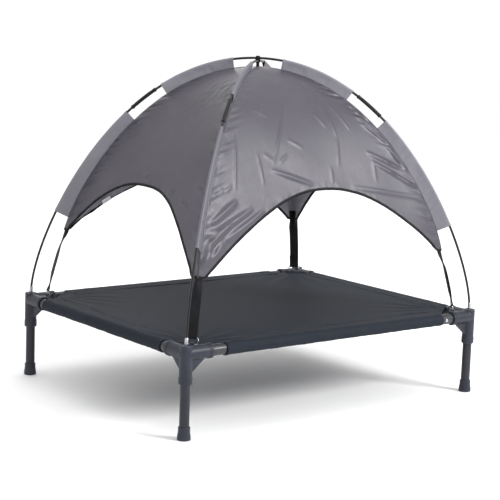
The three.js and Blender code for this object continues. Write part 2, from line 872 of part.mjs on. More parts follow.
const buttonX = legX - longSleeveStart + buttonBeforeSleeve;
for (const [place, side] of [["front", -1], ["back", 1]]) {
  // The front rail's button is at its right end, the back rail's at its left.
  const at = side * -buttonX;
  const outside = side > 0 ? 0 : -railDiameter;
  const hole = bar("y", buttonDiameter / 2 + gap, outside, railDiameter, [at, 0, 0], 12);
  const wall = geometryOf(cut(railGeometry("x"), hole));
  add(`long_rail_${place}`, wall, slatePaint).position.set(0, side * legY, railAxis);
  const button = add(`snap_button_${place}`, buttonGeometry(), brightWire);
  button.position.set(at, side * legY, railAxis);
  button.rotation.z = side < 0 ? 0 : Math.PI;
}
for (const [place, side] of [["left", -1], ["right", 1]]) {
  const rail = add(`short_rail_${place}`, geometryOf(railGeometry("y")), slatePaint);
  rail.position.set(side * legX, 0, railAxis);
}
add("bed_fabric", bedFabricGeometry(), bedCloth);

for (const [name, pole] of Object.entries(poles)) {
  addPole(name, pole);
  addSleeves(pole);
}
add("canopy_cover", coverGeometry(), canopyCloth);
for (const [side, panel] of Object.entries(panels)) {
  add(`edge_binding_${side}`, bindingGeometry(panel), blackTape);
}
labelMesh();
add("apex_tie", tieGeometry(), blackTape);

export default bed;
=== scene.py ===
"""A raised dog bed with a dome canopy on two crossed poles: the looks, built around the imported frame.

Every piece is in metres in the frame's own coordinates, with the bed's long side along X and the
floor at z = 0. Heights and places come from the frame's nodes and from the named sizes below."""

import json
import math

import bmesh
import bpy
import numpy as np
from mathutils import Matrix, Vector, noise


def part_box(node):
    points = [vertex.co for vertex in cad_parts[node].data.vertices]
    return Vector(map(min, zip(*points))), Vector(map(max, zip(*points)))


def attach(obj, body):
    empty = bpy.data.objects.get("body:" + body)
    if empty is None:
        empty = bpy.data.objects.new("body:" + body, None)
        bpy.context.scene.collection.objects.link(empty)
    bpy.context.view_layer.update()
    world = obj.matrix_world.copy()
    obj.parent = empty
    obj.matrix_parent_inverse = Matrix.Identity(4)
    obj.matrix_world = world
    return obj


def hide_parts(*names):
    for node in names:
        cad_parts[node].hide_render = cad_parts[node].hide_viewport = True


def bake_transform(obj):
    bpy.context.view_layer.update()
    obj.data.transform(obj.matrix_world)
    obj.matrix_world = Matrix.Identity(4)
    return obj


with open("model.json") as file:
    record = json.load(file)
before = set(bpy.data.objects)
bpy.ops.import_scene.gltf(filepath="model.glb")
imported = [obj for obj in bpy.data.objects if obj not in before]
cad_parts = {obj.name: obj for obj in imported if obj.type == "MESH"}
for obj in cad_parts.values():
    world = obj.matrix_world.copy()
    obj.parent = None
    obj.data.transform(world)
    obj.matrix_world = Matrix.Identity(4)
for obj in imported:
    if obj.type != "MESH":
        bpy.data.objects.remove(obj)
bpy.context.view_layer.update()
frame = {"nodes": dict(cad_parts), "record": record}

# ------------------------------------------------------------------ sizes, in metres
CORNERS = {
    "front_left": (-1, -1),
    "front_right": (1, -1),
    "back_left": (-1, 1),
    "back_right": (1, 1),
}
SQUARE = ((-1, -1), (1, -1), (1, 1), (-1, 1))

leg_low, leg_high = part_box("leg_front_right")
LEG_X = (leg_low.x + leg_high.x) / 2
LEG_Y = -(leg_low.y + leg_high.y) / 2
LEG_RADIUS = (leg_high.x - leg_low.x) / 2
LEG_TOP = leg_high.z
rail_low, rail_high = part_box("long_rail_front")
RAIL_AXIS = (rail_low.z + rail_high.z) / 2
RAIL_RADIUS = (rail_high.z - rail_low.z) / 2
LONG_RAIL_HALF = rail_high.x
SHORT_RAIL_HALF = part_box("short_rail_left")[1].y
MIDDLE_TO_LEG = math.hypot(LEG_X, LEG_Y)
DIAGONAL = math.atan2(LEG_Y, LEG_X)  # of the line from the middle to the back right leg, in plan

BED_TOP = 0.180  # top of the corner connectors
WEB_TOP = 0.173
BARREL_BOTTOM = 0.106
BARREL_RADIUS = 0.0125
COLLAR_RADIUS = 0.0132
SOCKET_RADIUS = 0.0135
MOUTH_RADIUS = 0.0147
SOCKET_REACH = 0.055
RAIL_START = 0.015
FOOT_HEIGHT = 0.025
FOOT_RADIUS = 0.013
FOOT_TOP_RADIUS = 0.0115
FOOT_FLOOR = 0.004

CROWN = 0.696  # upper pole's centre line at the crossing
POLE_RADIUS = 0.0025
POLE_BORE = 0.0016
POLE_STEP_DOWN = 0.0056  # from the upper pole to the lower one, where they cross
CROWN_REACH = 0.302
FOOT_REACH = 0.114
POLE_SOCKET_DEPTH = 0.024
FERRULE_LENGTH = 0.064
FERRULE_RADIUS = 0.0038

FIN_AT_CROWN = 0.017
FIN_AT_HEM = 0.026
FIN_TIP_PULL = 0.009
CORNER_RISE = 0.131
CORNER_PULLED_UP = {"front_left": 0.0, "front_right": 0.010, "back_left": 0.026, "back_right": 0.014}
FRONT_ARCH = BED_TOP + 0.262
SIDE_ARCH = BED_TOP + 0.257
ARCH_POWER = 2.25
STEEP_ARCH_POWER = 2.9  # of the left panel beside the front corner
TIP_WIDTH = 0.040
PANEL_DIP = 0.007
SLEEVE_CROWN_START = 0.052
FERRULE_WINDOW = 0.092
SLEEVE_RISE = 0.186

LONG_SLEEVE_START = 0.086  # leg axis to the bed fabric's sleeve along a long rail
SHORT_SLEEVE_START = 0.070
BED_SAG = 0.010
STRAP_WIDTH = 0.020
STRAP_THICKNESS = 0.0013
RING_WIRE = 0.0022


# ------------------------------------------------------------------ mesh helpers
def mesh_object(name, points, faces, looks, uv=None, sharp=40):
    """A mesh object from points and faces. uv has one (u, v) in metres for each point."""
    mesh = bpy.data.meshes.new(name)
    places = [tuple(point) for point in np.asarray(points, float)]
    mesh.from_pydata(places, [], [tuple(map(int, face)) for face in faces])
    mesh.validate()
    for look in looks if isinstance(looks, (list, tuple)) else [looks]:
        mesh.materials.append(look)
    if uv is not None:
        layer = mesh.uv_layers.new(name="cloth")
        corner = np.zeros(len(mesh.loops), np.int32)
        mesh.loops.foreach_get("vertex_index", corner)
        layer.uv.foreach_set("vector", np.asarray(uv, np.float32)[corner].ravel())
    mesh.shade_smooth()
    mesh.set_sharp_from_angle(angle=math.radians(sharp))
    made = bpy.data.objects.new(name, mesh)
    bpy.context.scene.collection.objects.link(made)
    return made


def grid_faces(rows, columns, wrap_rows=False, wrap_columns=False, start=0):
    """Quads of a grid of points, counted along its rows. A wrap joins the last ones to the first."""
    i, j = np.meshgrid(
        np.arange(rows if wrap_rows else rows - 1),
        np.arange(columns if wrap_columns else columns - 1),
        indexing="ij",
    )
    i, j = i.ravel(), j.ravel()
    below, beside = (i + 1) % rows, (j + 1) % columns
    quads = [i * columns + j, i * columns + beside, below * columns + beside, below * columns + j]
    return (np.stack(quads, 1) + start).tolist()


def tube_faces(rows, sides, start=0):
    """Faces of a tube with flat ends."""
    faces = grid_faces(rows, sides, wrap_columns=True, start=start)
    faces.append([start + j for j in range(sides)])
    faces.append([start + (rows - 1) * sides + j for j in reversed(range(sides))])
    return faces


def closed_tube(rings):
    """Points and faces of a tube with flat ends, from its rings."""
    rows, sides = rings.shape[:2]
    return rings.reshape(-1, 3), tube_faces(rows, sides)


def faces_out(piece):
    """Turns a closed mesh's faces so that they all point outwards."""
    work = bmesh.new()
    work.from_mesh(piece.data)
    bmesh.ops.recalc_face_normals(work, faces=work.faces)
    work.to_mesh(piece.data)
    work.free()
    return piece


def sheet_faces_out(piece, place, outward, weld=0.0):
    """Makes a sheet's faces agree, with the one nearest to place facing outward."""
    work = bmesh.new()
    work.from_mesh(piece.data)
    if weld:
        bmesh.ops.remove_doubles(work, verts=work.verts, dist=weld)
        bmesh.ops.dissolve_degenerate(work, dist=weld / 2, edges=work.edges)
    bmesh.ops.recalc_face_normals(work, faces=work.faces)
    nearest = min(work.faces, key=lambda face: (face.calc_center_median() - Vector(place)).length)
    if nearest.normal.dot(Vector(outward)) < 0:
        bmesh.ops.reverse_faces(work, faces=work.faces)
    work.to_mesh(piece.data)
    work.free()


def thicken(piece, thickness, inner_look=0):
    """Gives a sheet its thickness, on its inner side."""
    solid = piece.modifiers.new("thickness", "SOLIDIFY")
    solid.thickness = thickness
    solid.offset = -1
    solid.material_offset = inner_look


def turned(name, profile, axis, at, look, sides=48):
    """A profile of (radius, place along the axis) turned about an axis through at."""
    profile = np.asarray(profile, float)
    turn = np.linspace(0, 2 * math.pi, sides, endpoint=False)
    x, y = np.cos(turn), np.sin(turn)
    rings = np.zeros((len(profile), sides, 3))
    along = {"x": 0, "y": 1, "z": 2}[axis]
    first, second = (along + 1) % 3, (along + 2) % 3
    rings[:, :, along] = profile[:, 1][:, None]
    rings[:, :, first] = profile[:, 0][:, None] * x[None]
    rings[:, :, second] = profile[:, 0][:, None] * y[None]
    rings += np.asarray(at, float)
    if np.allclose(profile[0], profile[-1]):
        rings = rings[:-1]
        faces = grid_faces(len(rings), sides, wrap_rows=True, wrap_columns=True)
    else:
        faces = tube_faces(len(rings), sides)
    return faces_out(mesh_object(name, rings.reshape(-1, 3), faces, look, sharp=35))


def arc_profile(radius, place, corner, start, end, steps=4):
    """Points of a rounded edge of a profile: a quarter turn of size corner about (radius, place)."""
    angles = np.radians(np.linspace(start, end, steps + 1))
    return [(radius + corner * math.cos(a), place + corner * math.sin(a)) for a in angles]


def joined(name, parts):
    """One object from several, which are used up."""
    first = parts[0]
    with bpy.context.temp_override(
        active_object=first, selected_objects=parts, selected_editable_objects=parts
    ):
        bpy.ops.object.join()
    first.name = name
    first.data.name = name
    return first


def apply_modifiers(piece):
    """Makes a piece's modifiers part of its mesh."""
    bpy.context.view_layer.update()
    seen = piece.evaluated_get(bpy.context.evaluated_depsgraph_get())
    mesh = bpy.data.meshes.new_from_object(seen)
    piece.modifiers.clear()
    old, piece.data = piece.data, mesh
    bpy.data.meshes.remove(old)
    mesh.name = piece.name


def combine(piece, other, operation):
    """Joins other on to piece or cuts it away. other is used up."""
    change = piece.modifiers.new("change", "BOOLEAN")
    change.operation = operation
    change.solver = "MANIFOLD"
    change.object = other
    apply_modifiers(piece)
    bpy.data.objects.remove(other)


CAD_BODY = {
    node: body for body, nodes in frame["record"]["behaviour"]["bodies"].items() for node in nodes
}


def finish_piece(piece, body, slot, *nodes):
    """Rides a piece on a body and hides the plain nodes that it stands for."""
    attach(piece, body)
    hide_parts(*nodes)


def smooth_noise(x, y, seed, scale):
    """Smooth noise from -1 to 1 at each pair of places."""
    x, y = np.broadcast_arrays(np.asarray(x, float), np.asarray(y, float))
    flat = [
        noise.noise(Vector((a / scale, b / scale, seed * 7.31)))
        for a, b in zip(x.ravel(), y.ravel())
    ]
    return np.array(flat).reshape(x.shape)


def steps_between(start, end, step):
    return np.linspace(start, end, max(2, int(round(abs(end - start) / step)) + 1))


def unit(vectors):
    return vectors / np.linalg.norm(vectors, axis=-1, keepdims=True)


def lengths_along(line):
    """Length from a line's first point to each of its points."""
    return np.concatenate([[0], np.cumsum(np.linalg.norm(np.diff(line, axis=0), axis=1))])


def hump(x, middle, width):
    """1 at middle, falling away smoothly on both sides."""
    return np.exp(-(((x - middle) / width) ** 2))


def fade_line(x, low, high):
    """0 below low, 1 above high, straight between them."""
    return np.clip((x - low) / (high - low), 0, 1)


def fade(x, low, high):
    """0 below low, 1 above high, smooth between them."""
    t = fade_line(np.asarray(x, float), low, high)
    return t * t * (3 - 2 * t)


# ------------------------------------------------------------------ materials
def srgb(red, green, blue):
    """A screen colour, 0 to 255, as the linear colour that shaders take."""
    share = [c / 255 for c in (red, green, blue)]
    return [c / 12.92 if c <= 0.04045 else ((c + 0.055) / 1.055) ** 2.4 for c in share] + [1.0]


class Look:
    """A material built from nodes round one Principled shader."""

    def __init__(self, name, roughness, metallic=0.0, specular=0.5, sheen=0.0, coat=0.0):
        self.material = bpy.data.materials.new(name)
        self.material.use_nodes = True
        self.tree = self.material.node_tree
        self.shader = self.tree.nodes["Principled BSDF"]
        settings = {
            "Roughness": roughness,
            "Metallic": metallic,
            "Specular IOR Level": specular,
            "Sheen Weight": sheen,
            "Sheen Roughness": 0.4,
            "Coat Weight": coat,
            "Coat Roughness": 0.15,
        }
        for socket, value in settings.items():
            self.shader.inputs[socket].default_value = value
        self.shader.location = (900, 0)

    def node(self, kind, **settings):
        made = self.tree.nodes.new(kind)
        made.location = (-200 + 160 * (len(self.tree.nodes) % 6), 300 - 180 * (len(self.tree.nodes) // 6))
        for key, value in settings.items():
            setattr(made, key, value)
        return made

    def link(self, output, target):
        self.tree.links.new(output, target)

    def places(self, stretch=(1, 1, 1), turn=0.0, cloth=False):
        """Where on the piece a texture is read: its own coordinates, or the cloth's own threads."""
        if cloth:
            source = self.node("ShaderNodeUVMap", uv_map="cloth")
        else:
            source = self.node("ShaderNodeTexCoord")
        mapping = self.node("ShaderNodeMapping")
        mapping.inputs["Scale"].default_value = stretch
        mapping.inputs["Rotation"].default_value = (0, 0, turn)
        self.link(source.outputs["UV" if cloth else "Object"], mapping.inputs["Vector"])
        return mapping.outputs["Vector"]

    def noise(self, scale, detail=3.0, roughness=0.5, vector=None):
        made = self.node("ShaderNodeTexNoise")
        made.inputs["Scale"].default_value = scale
        made.inputs["Detail"].default_value = detail
        made.inputs["Roughness"].default_value = roughness
        self.link(vector or self.places(), made.inputs["Vector"])
        return made.outputs["Fac"]

    def voronoi(self, scale):
        made = self.node("ShaderNodeTexVoronoi")
        made.inputs["Scale"].default_value = scale
        self.link(self.places(), made.inputs["Vector"])
        return made.outputs["Distance"]

    def waves(self, pitch, direction, vector, distortion=0.0):
        """Bands of that pitch across X or Y of the given places."""
        made = self.node("ShaderNodeTexWave", bands_direction=direction)
        made.inputs["Scale"].default_value = math.pi / (10 * pitch)
        made.inputs["Distortion"].default_value = distortion
        self.link(vector, made.inputs["Vector"])
        return made.outputs["Fac"]

    def math(self, operation, first, second):
        made = self.node("ShaderNodeMath", operation=operation)
        for socket, value in zip(made.inputs, (first, second)):
            if isinstance(value, (int, float)):
                socket.default_value = value
            else:
                self.link(value, socket)
        return made.outputs["Value"]

    def span(self, value, low, high, from_low=0.0, from_high=1.0):
        """value brought from one range to another."""
        made = self.node("ShaderNodeMapRange")
        made.inputs["From Min"].default_value = from_low
        made.inputs["From Max"].default_value = from_high
        made.inputs["To Min"].default_value = low
        made.inputs["To Max"].default_value = high
        self.link(value, made.inputs["Value"])
        return made.outputs["Result"]

    def colours(self, value, *stops):
        """Colours at places along a value."""
        made = self.node("ShaderNodeValToRGB")
        ramp = made.color_ramp
        while len(ramp.elements) < len(stops):
            ramp.elements.new(0.5)
        for element, (place, colour) in zip(ramp.elements, stops):
            element.position = place
            element.color = colour
        self.link(value, made.inputs["Fac"])
        return made.outputs["Color"]

    def worn(self, share, colour, worn):
        """A varying colour, with the worn one showing through by a varying share."""
        made = self.node("ShaderNodeMix", data_type="RGBA")
        self.link(share, made.inputs["Factor"])
        self.link(colour, made.inputs[6])
        made.inputs[7].default_value = worn
        return made.outputs[2]

    def bump(self, height, distance, strength=1.0, over=None):
        made = self.node("ShaderNodeBump")
        made.inputs["Strength"].default_value = strength
        made.inputs["Distance"].default_value = distance
        self.link(height, made.inputs["Height"])
        if over is not None:
            self.link(over, made.inputs["Normal"])
        return made.outputs["Normal"]

    def done(self, colour, roughness=None, normal=None):
        sockets = {"Base Color": colour, "Roughness": roughness, "Normal": normal}
        for socket, output in sockets.items():
            if output is not None:
                self.link(output, self.shader.inputs[socket])
        return self.material


def woven(look, pitch):
    """Height of a plain weave: warp and weft bands that go over and under each other."""
    place = look.places(cloth=True)
    warp = look.waves(pitch, "X", place)
    weft = look.waves(pitch, "Y", place)
    return look.math("MAXIMUM", warp, weft), look.math("SUBTRACT", warp, weft)


def canopy_look(name, dark, light, sheen, roughness):
    """Coated polyester: a fine weave with a satin sheen, fine creases and a soft change of shade."""
    look = Look(name, roughness, sheen=sheen, specular=0.45)
    place = look.places(cloth=True)
    soft = look.noise(7.0, 3.0, 0.55, place)
    fine = look.noise(420.0, 2.0, 0.6, place)
    shade = look.math("ADD", look.math("MULTIPLY", soft, 0.75), look.math("MULTIPLY", fine, 0.25))
    colour = look.colours(shade, (0.32, dark), (0.68, light))
    top, _ = woven(look, 0.0009)
    crumple = look.noise(38.0, 4.0, 0.62, look.places((1.0, 0.45, 1.0), 0.2, cloth=True))
    normal = look.bump(top, 0.00006, 0.6, over=look.bump(crumple, 0.0012, 0.35))
    rough = look.span(look.noise(60.0, 2.0, 0.5, place), roughness - 0.06, roughness + 0.08)
    return look.done(colour, rough, normal)


def webbing_look(name, dark, light, pitch=0.0016):
    """Black polypropylene webbing: raised slanting ribs with paler worn threads."""
    look = Look(name, 0.72, sheen=0.02, specular=0.16)
    place = look.places(turn=0.6)
    ribs = look.waves(pitch, "X", place, 0.4)
    cross = look.waves(pitch * 0.8, "Z", look.places(), 0.3)
    height = look.math("MAXIMUM", ribs, cross)
    worn = look.math("MULTIPLY", look.noise(90.0, 4.0, 0.6), look.noise(900.0, 2.0, 0.5))
    shade = look.math("ADD", worn, look.math("MULTIPLY", height, 0.15))
    colour = look.colours(shade, (0.2, dark), (0.6, light))
    rough = look.span(height, 0.82, 0.62)
    return look.done(colour, rough, look.bump(height, 0.0003, 0.7))


def bed_cloth_look(name, dark, light, pitch=0.0014):
    """Heavy woven polyester with coarse threads, dull with a faint blue cast."""
    look = Look(name, 0.8, specular=0.08)
    top, pick = woven(look, pitch)
    place = look.places(cloth=True)
    streaks = look.noise(1.0, 3.0, 0.6, look.places((18.0, 260.0, 1.0), cloth=True))
    cross_streaks = look.noise(1.0, 3.0, 0.6, look.places((260.0, 18.0, 1.0), cloth=True))
    broad = look.noise(4.5, 3.0, 0.5, place)
    shade = look.math(
        "ADD",
        look.math("MULTIPLY", look.math("ADD", streaks, cross_streaks), 0.3),
        look.math("ADD", look.math("MULTIPLY", broad, 0.25), look.math("MULTIPLY", pick, 0.12)),
    )
    colour = look.colours(shade, (0.22, dark), (0.62, light))
    rough = look.span(top, 0.82, 0.6)
    slack = look.bump(look.noise(16.0, 3.0, 0.5, place), 0.0012, 0.3)
    return look.done(colour, rough, look.bump(top, 0.00022, 0.7, over=slack))


def plastic_look(name, dark, light, worn, roughness=0.42):
    """Moulded plastic: a fine grain, flow marks and paler rubbed edges."""
    look = Look(name, roughness, specular=0.3)
    grain = look.noise(900.0, 2.0, 0.6)
    flow = look.noise(22.0, 4.0, 0.6)
    base = look.colours(flow, (0.35, dark), (0.68, light))
    edge = look.node("ShaderNodeNewGeometry").outputs["Pointiness"]
    rubbed = look.span(look.math("MULTIPLY", look.span(edge, 0.0, 1.0, 0.51, 0.6), flow), 0.0, 0.9)
    colour = look.worn(rubbed, base, worn)
    broad = look.span(flow, roughness - 0.08, roughness + 0.1)
    rough = look.math("ADD", broad, look.span(grain, -0.03, 0.03))
    return look.done(colour, rough, look.bump(grain, 0.00012, 0.5))


def paint_look(name, dark, light, worn, roughness=0.34, specular=0.3, coat=0.08):
    """Powder paint on a steel tube: a slight orange peel, fine scuffs and dusty patches."""
    look = Look(name, roughness, specular=specular, coat=coat)
    peel = look.voronoi(420.0)
    dust = look.noise(14.0, 5.0, 0.65)
    scuff = look.noise(1.0, 3.0, 0.7, look.places((30.0, 900.0, 60.0)))
    base = look.colours(dust, (0.36, dark), (0.7, light))
    marks = look.span(scuff, 0.0, 0.5, 0.66, 0.78)
    colour = look.worn(marks, base, worn)
    rough = look.span(look.math("MULTIPLY", dust, scuff), roughness - 0.06, roughness + 0.22, 0.1, 0.4)
    return look.done(colour, rough, look.bump(peel, 0.0001, 0.35))


def metal_look(name, dark, light, roughness, metallic=1.0, specular=0.5):
    """Drawn or plated metal: lengthwise lines and a few duller spots."""
    look = Look(name, roughness, metallic, specular=specular)
    lines = look.noise(1.0, 4.0, 0.6, look.places((900.0, 900.0, 60.0)))
    spots = look.noise(120.0, 3.0, 0.6)
    shade = look.math("MULTIPLY", look.math("ADD", lines, spots), 0.5)
    colour = look.colours(shade, (0.35, dark), (0.62, light))
    rough = look.span(spots, roughness - 0.05, roughness + 0.2, 0.3, 0.8)
    return look.done(colour, rough, look.bump(lines, 0.00005, 0.4))


def fibreglass_look():
    """A pultruded rod: black resin with faint lengthwise fibres under a gloss."""
    look = Look("fibreglass", 0.3, specular=0.3)
    fibres = look.noise(1.0, 4.0, 0.6, look.places((700.0, 700.0, 25.0)))
    colour = look.colours(fibres, (0.35, srgb(14, 14, 16)), (0.72, srgb(34, 34, 38)))
    rough = look.span(look.noise(60.0, 3.0, 0.5), 0.22, 0.42)
    return look.done(colour, rough, look.bump(fibres, 0.00006, 0.5))


def tag_look():
    """A satin woven label with nothing printed on it."""
    look = Look("white_tag", 0.55, sheen=0.2)
    height = look.waves(0.0005, "Z", look.places())
    colour = look.colours(look.noise(160.0, 2.0), (0.3, srgb(214, 214, 218)), (0.7, srgb(238, 238, 240)))
    return look.done(colour, look.span(height, 0.6, 0.45), look.bump(height, 0.0001, 0.4))


def elastic_look():
    """Braided shock cord: pale yarns that cross at a slant."""
    look = Look("elastic_cord", 0.8)
    braid = look.math(
        "MAXIMUM",
        look.waves(0.0008, "X", look.places(turn=0.7)),
        look.waves(0.0008, "X", look.places(turn=-0.7)),
    )
    colour = look.colours(braid, (0.2, srgb(150, 150, 146)), (0.8, srgb(214, 214, 208)))
    return look.done(colour, None, look.bump(braid, 0.0002, 0.6))


def thread_look(name, dark, light):
    look = Look(name, 0.6, sheen=0.2)
    twist = look.waves(0.0006, "DIAGONAL", look.places())
    colour = look.colours(twist, (0.2, dark), (0.8, light))
    return look.done(colour, None, look.bump(twist, 0.00015, 0.5))


canopy_cloth = canopy_look("canopy_cloth", srgb(57, 54, 63), srgb(67, 64, 73), 0.04, 0.38)
# The cover's inner face: the same cloth, painted much lighter with the glow of light that comes through
# it.
canopy_inside_painted_glow = canopy_look("canopy_inside_painted_glow", srgb(128, 126, 134), srgb(143, 141, 149), 0.03, 0.6)
# Two copies of one sleeve cloth: pole a's copy is lighter, with the painted glow of backlit cloth; pole
# b's copy is the same cloth darkened with painted shade.
SLEEVE_LOOKS = {
    "a": canopy_look("sleeve_cloth", srgb(108, 106, 114), srgb(124, 122, 130), 0.03, 0.5),
    "b": canopy_look("sleeve_cloth_painted_shade", srgb(84, 82, 90), srgb(97, 95, 103), 0.03, 0.5),
}
black_webbing = webbing_look("black_webbing", srgb(10, 10, 12), srgb(30, 30, 34))
black_tape = webbing_look("black_tape", srgb(8, 8, 11), srgb(24, 24, 29), 0.001)
bed_cloth = bed_cloth_look("bed_mesh", srgb(28, 32, 39), srgb(39, 43, 51))
slate_plastic = plastic_look("slate_plastic", srgb(30, 32, 42), srgb(41, 44, 55), srgb(72, 74, 87))
slate_paint = paint_look("slate_paint", srgb(26, 28, 35), srgb(37, 40, 49), srgb(78, 80, 90))
rail_paint = paint_look("rail_paint", srgb(15, 16, 20), srgb(26, 28, 33), srgb(60, 62, 70), 0.3, 0.5, 0.2)
fibreglass = fibreglass_look()
dark_ferrule = metal_look("dark_ferrule", srgb(9, 9, 11), srgb(26, 26, 30), 0.42, 0.0, 0.22)
bright_tip = metal_look("bright_tip", srgb(120, 121, 125), srgb(190, 191, 194), 0.25)
bright_wire = metal_look("bright_wire", srgb(150, 151, 155), srgb(222, 223, 226), 0.18)
white_tag = tag_look()
elastic = elastic_look()
grey_thread = thread_look("grey_thread", srgb(96, 94, 104), srgb(132, 130, 140))
black_thread = thread_look("black_thread", srgb(26, 27, 30), srgb(58, 60, 66))


# ------------------------------------------------------------------ camera, floor and light
CAMERA_PLACE = Vector((-1.9196, -2.4995, 0.7874))
CAMERA_YAW = math.radians(37.476)  # from +Y towards +X
CAMERA_PITCH = math.radians(8.975)  # down
CAMERA_ROLL = math.radians(-1.976)
SENSOR = 36.0
LENS = 107.83


def make_camera():
    data = bpy.data.cameras.new("camera")
    data.sensor_width = SENSOR
    data.lens = LENS
    data.clip_start = 0.1
    data.clip_end = 50
    ahead = Vector(
        (
            math.sin(CAMERA_YAW) * math.cos(CAMERA_PITCH),
            math.cos(CAMERA_YAW) * math.cos(CAMERA_PITCH),
            -math.sin(CAMERA_PITCH),
        )
    )
    level = Vector((math.cos(CAMERA_YAW), -math.sin(CAMERA_YAW), 0))
    below = ahead.cross(level)
    right = level * math.cos(CAMERA_ROLL) + below * math.sin(CAMERA_ROLL)
    down = -level * math.sin(CAMERA_ROLL) + below * math.cos(CAMERA_ROLL)
    camera = bpy.data.objects.new("camera", data)
    turn = Matrix((right, -down, -ahead)).transposed().to_4x4()
    camera.matrix_world = Matrix.Translation(CAMERA_PLACE) @ turn
    bpy.context.scene.collection.objects.link(camera)
    bpy.context.scene.camera = camera


FLOOR_HALF = 14.0
SKY_STRENGTH = 1.05
LIGHTS = {  # place, width, height, power in watts
    "key": ((1.6, -3.2, 2.4), 1.2, 1.2, 150),
    "top": ((0.2, 0.2, 3.2), 2.0, 2.0, 25),
    "left_fill": ((-3.2, -0.4, 1.6), 1.2, 2.0, 0.5),
    "back": ((1.2, 3.0, 2.0), 2.0, 1.4, 12),
}
LIGHTS_AIM = Vector((0, 0, 0.35))


def area_light(name, place, width, height, power):
    data = bpy.data.lights.new(name, "AREA")
    data.shape = "RECTANGLE"
    data.size = width
    data.size_y = height
    data.energy = power
    lamp = bpy.data.objects.new(name, data)
    lamp.location = place
    lamp.rotation_mode = "QUATERNION"
    lamp.rotation_quaternion = (LIGHTS_AIM - Vector(place)).to_track_quat("-Z", "Y")
    bpy.context.scene.collection.objects.link(lamp)


def make_studio():
    world = bpy.data.worlds.new("studio")
    world.use_nodes = True
    sky = world.node_tree.nodes["Background"]
    sky.inputs["Color"].default_value = (1, 1, 1, 1)
    sky.inputs["Strength"].default_value = SKY_STRENGTH
    bpy.context.scene.world = world
    bpy.context.scene.view_settings.view_transform = "Standard"
    look = Look("floor", 0.7, specular=0.2)
    darker, lighter = (0.94, 0.94, 0.945, 1), (0.97, 0.97, 0.972, 1)
    shade = look.colours(look.noise(3.0, 2.0), (0.3, darker), (0.7, lighter))
    corners = [(x * FLOOR_HALF, y * FLOOR_HALF, 0) for x, y in SQUARE]
    floor = mesh_object("floor", corners, [(0, 1, 2, 3)], look.done(shade))
    for name, settings in LIGHTS.items():
        area_light(name, *settings)


make_camera()
make_studio()


# ------------------------------------------------------------------ poles
class Pole:
    """A bent pole in its upright plane. Lengths s run from the crown, below zero on the far side."""

    def __init__(self, crown):
        t = np.linspace(0, 1, 2001)[:, None]
        handles = [
            (0, crown),
            (CROWN_REACH, crown),
            (MIDDLE_TO_LEG, BED_TOP + FOOT_REACH),
            (MIDDLE_TO_LEG, BED_TOP),
        ]
        weights = [(1 - t) ** 3, 3 * t * (1 - t) ** 2, 3 * t**2 * (1 - t), t**3]
        bend = sum(w * np.array(h) for w, h in zip(weights, handles))
        self.line = np.vstack([bend, [(MIDDLE_TO_LEG, BED_TOP - POLE_SOCKET_DEPTH)]])
        self.arc = lengths_along(self.line)
        self.bent = self.arc[-2]
        self.length = self.arc[-1]

    def at(self, s):
        """Radius from the bed's middle and height."""
        return np.interp(s, self.arc, self.line[:, 0]), np.interp(s, self.arc, self.line[:, 1])

    def frame(self, s):
        """Radius, height and the outward normal's two parts."""
        s = np.asarray(s, float)
        side = np.where(s < 0, -1.0, 1.0)
        away = np.abs(s)
        step = 0.0005
        r0, z0 = self.at(np.maximum(away - step, 0))
        r1, z1 = self.at(np.minimum(away + step, self.length))
        long = np.hypot(r1 - r0, z1 - z0)
        r, z = self.at(away)
        return side * r, z, side * -(z1 - z0) / long, (r1 - r0) / long

    def place(self, s, out, across, angle):
        """Points beside the pole: out along its normal and across its plane."""
        r, z, normal_r, normal_z = self.frame(s)
        radius = r + out * normal_r
        x, y = math.cos(angle), math.sin(angle)
        return np.stack([radius * x + across * y, radius * y - across * x, z + out * normal_z], -1)


upper_pole = Pole(CROWN)
lower_pole = Pole(CROWN - POLE_STEP_DOWN)
POLES = {
    "a": (upper_pole, -DIAGONAL, ("back_left", "front_right")),
    "b": (lower_pole, DIAGONAL, ("front_left", "back_right")),
}
JOINT_ARC = upper_pole.length / 3  # where the sections of a pole meet, inside a ferrule


def pipe_along(name, pole, angle, stations, outer, inner, look, sides=20):
    """A round pipe that follows a pole. outer and inner are radii, one value or one for each station."""
    s = np.asarray(stations, float)
    turn = np.linspace(0, 2 * math.pi, sides, endpoint=False)
    shells = []
    for radius in (outer, inner):
        radius = np.broadcast_to(radius, s.shape)
        out = radius[:, None] * np.cos(turn)
        across = radius[:, None] * np.sin(turn)
        shells.append(pole.place(s[:, None], out, across, angle))
    rings = np.concatenate([shells[0], shells[1][::-1]])
    faces = grid_faces(len(rings), sides, wrap_rows=True, wrap_columns=True)
    return faces_out(mesh_object(name, rings.reshape(-1, 3), faces, look))


POLE_END_GAP = 0.0015  # from the pole's end to the end of its bore
SECTION_GAP = 0.00015  # half the gap between two sections


def make_poles():
    for name, (pole, angle, ends) in POLES.items():
        end = pole.length - POLE_END_GAP
        stretches = {
            "left": (-end, -JOINT_ARC - SECTION_GAP),
            "middle": (-JOINT_ARC + SECTION_GAP, JOINT_ARC - SECTION_GAP),
            "right": (JOINT_ARC + SECTION_GAP, end),
        }
        for part, (start, stop) in stretches.items():
            node = f"pole_{name}_{part}"
            stations = steps_between(start, stop, 0.006)
            rod = pipe_along(node + "_rod", pole, angle, stations, POLE_RADIUS, POLE_BORE, fibreglass)
            finish_piece(rod, "canopy" if part == "middle" else CAD_BODY[node], "fibreglass", node)
        for corner, side in zip(ends, (-1, 1)):
            make_ferrule(pole, angle, corner, side)
            make_pole_tip(pole, angle, corner, side)


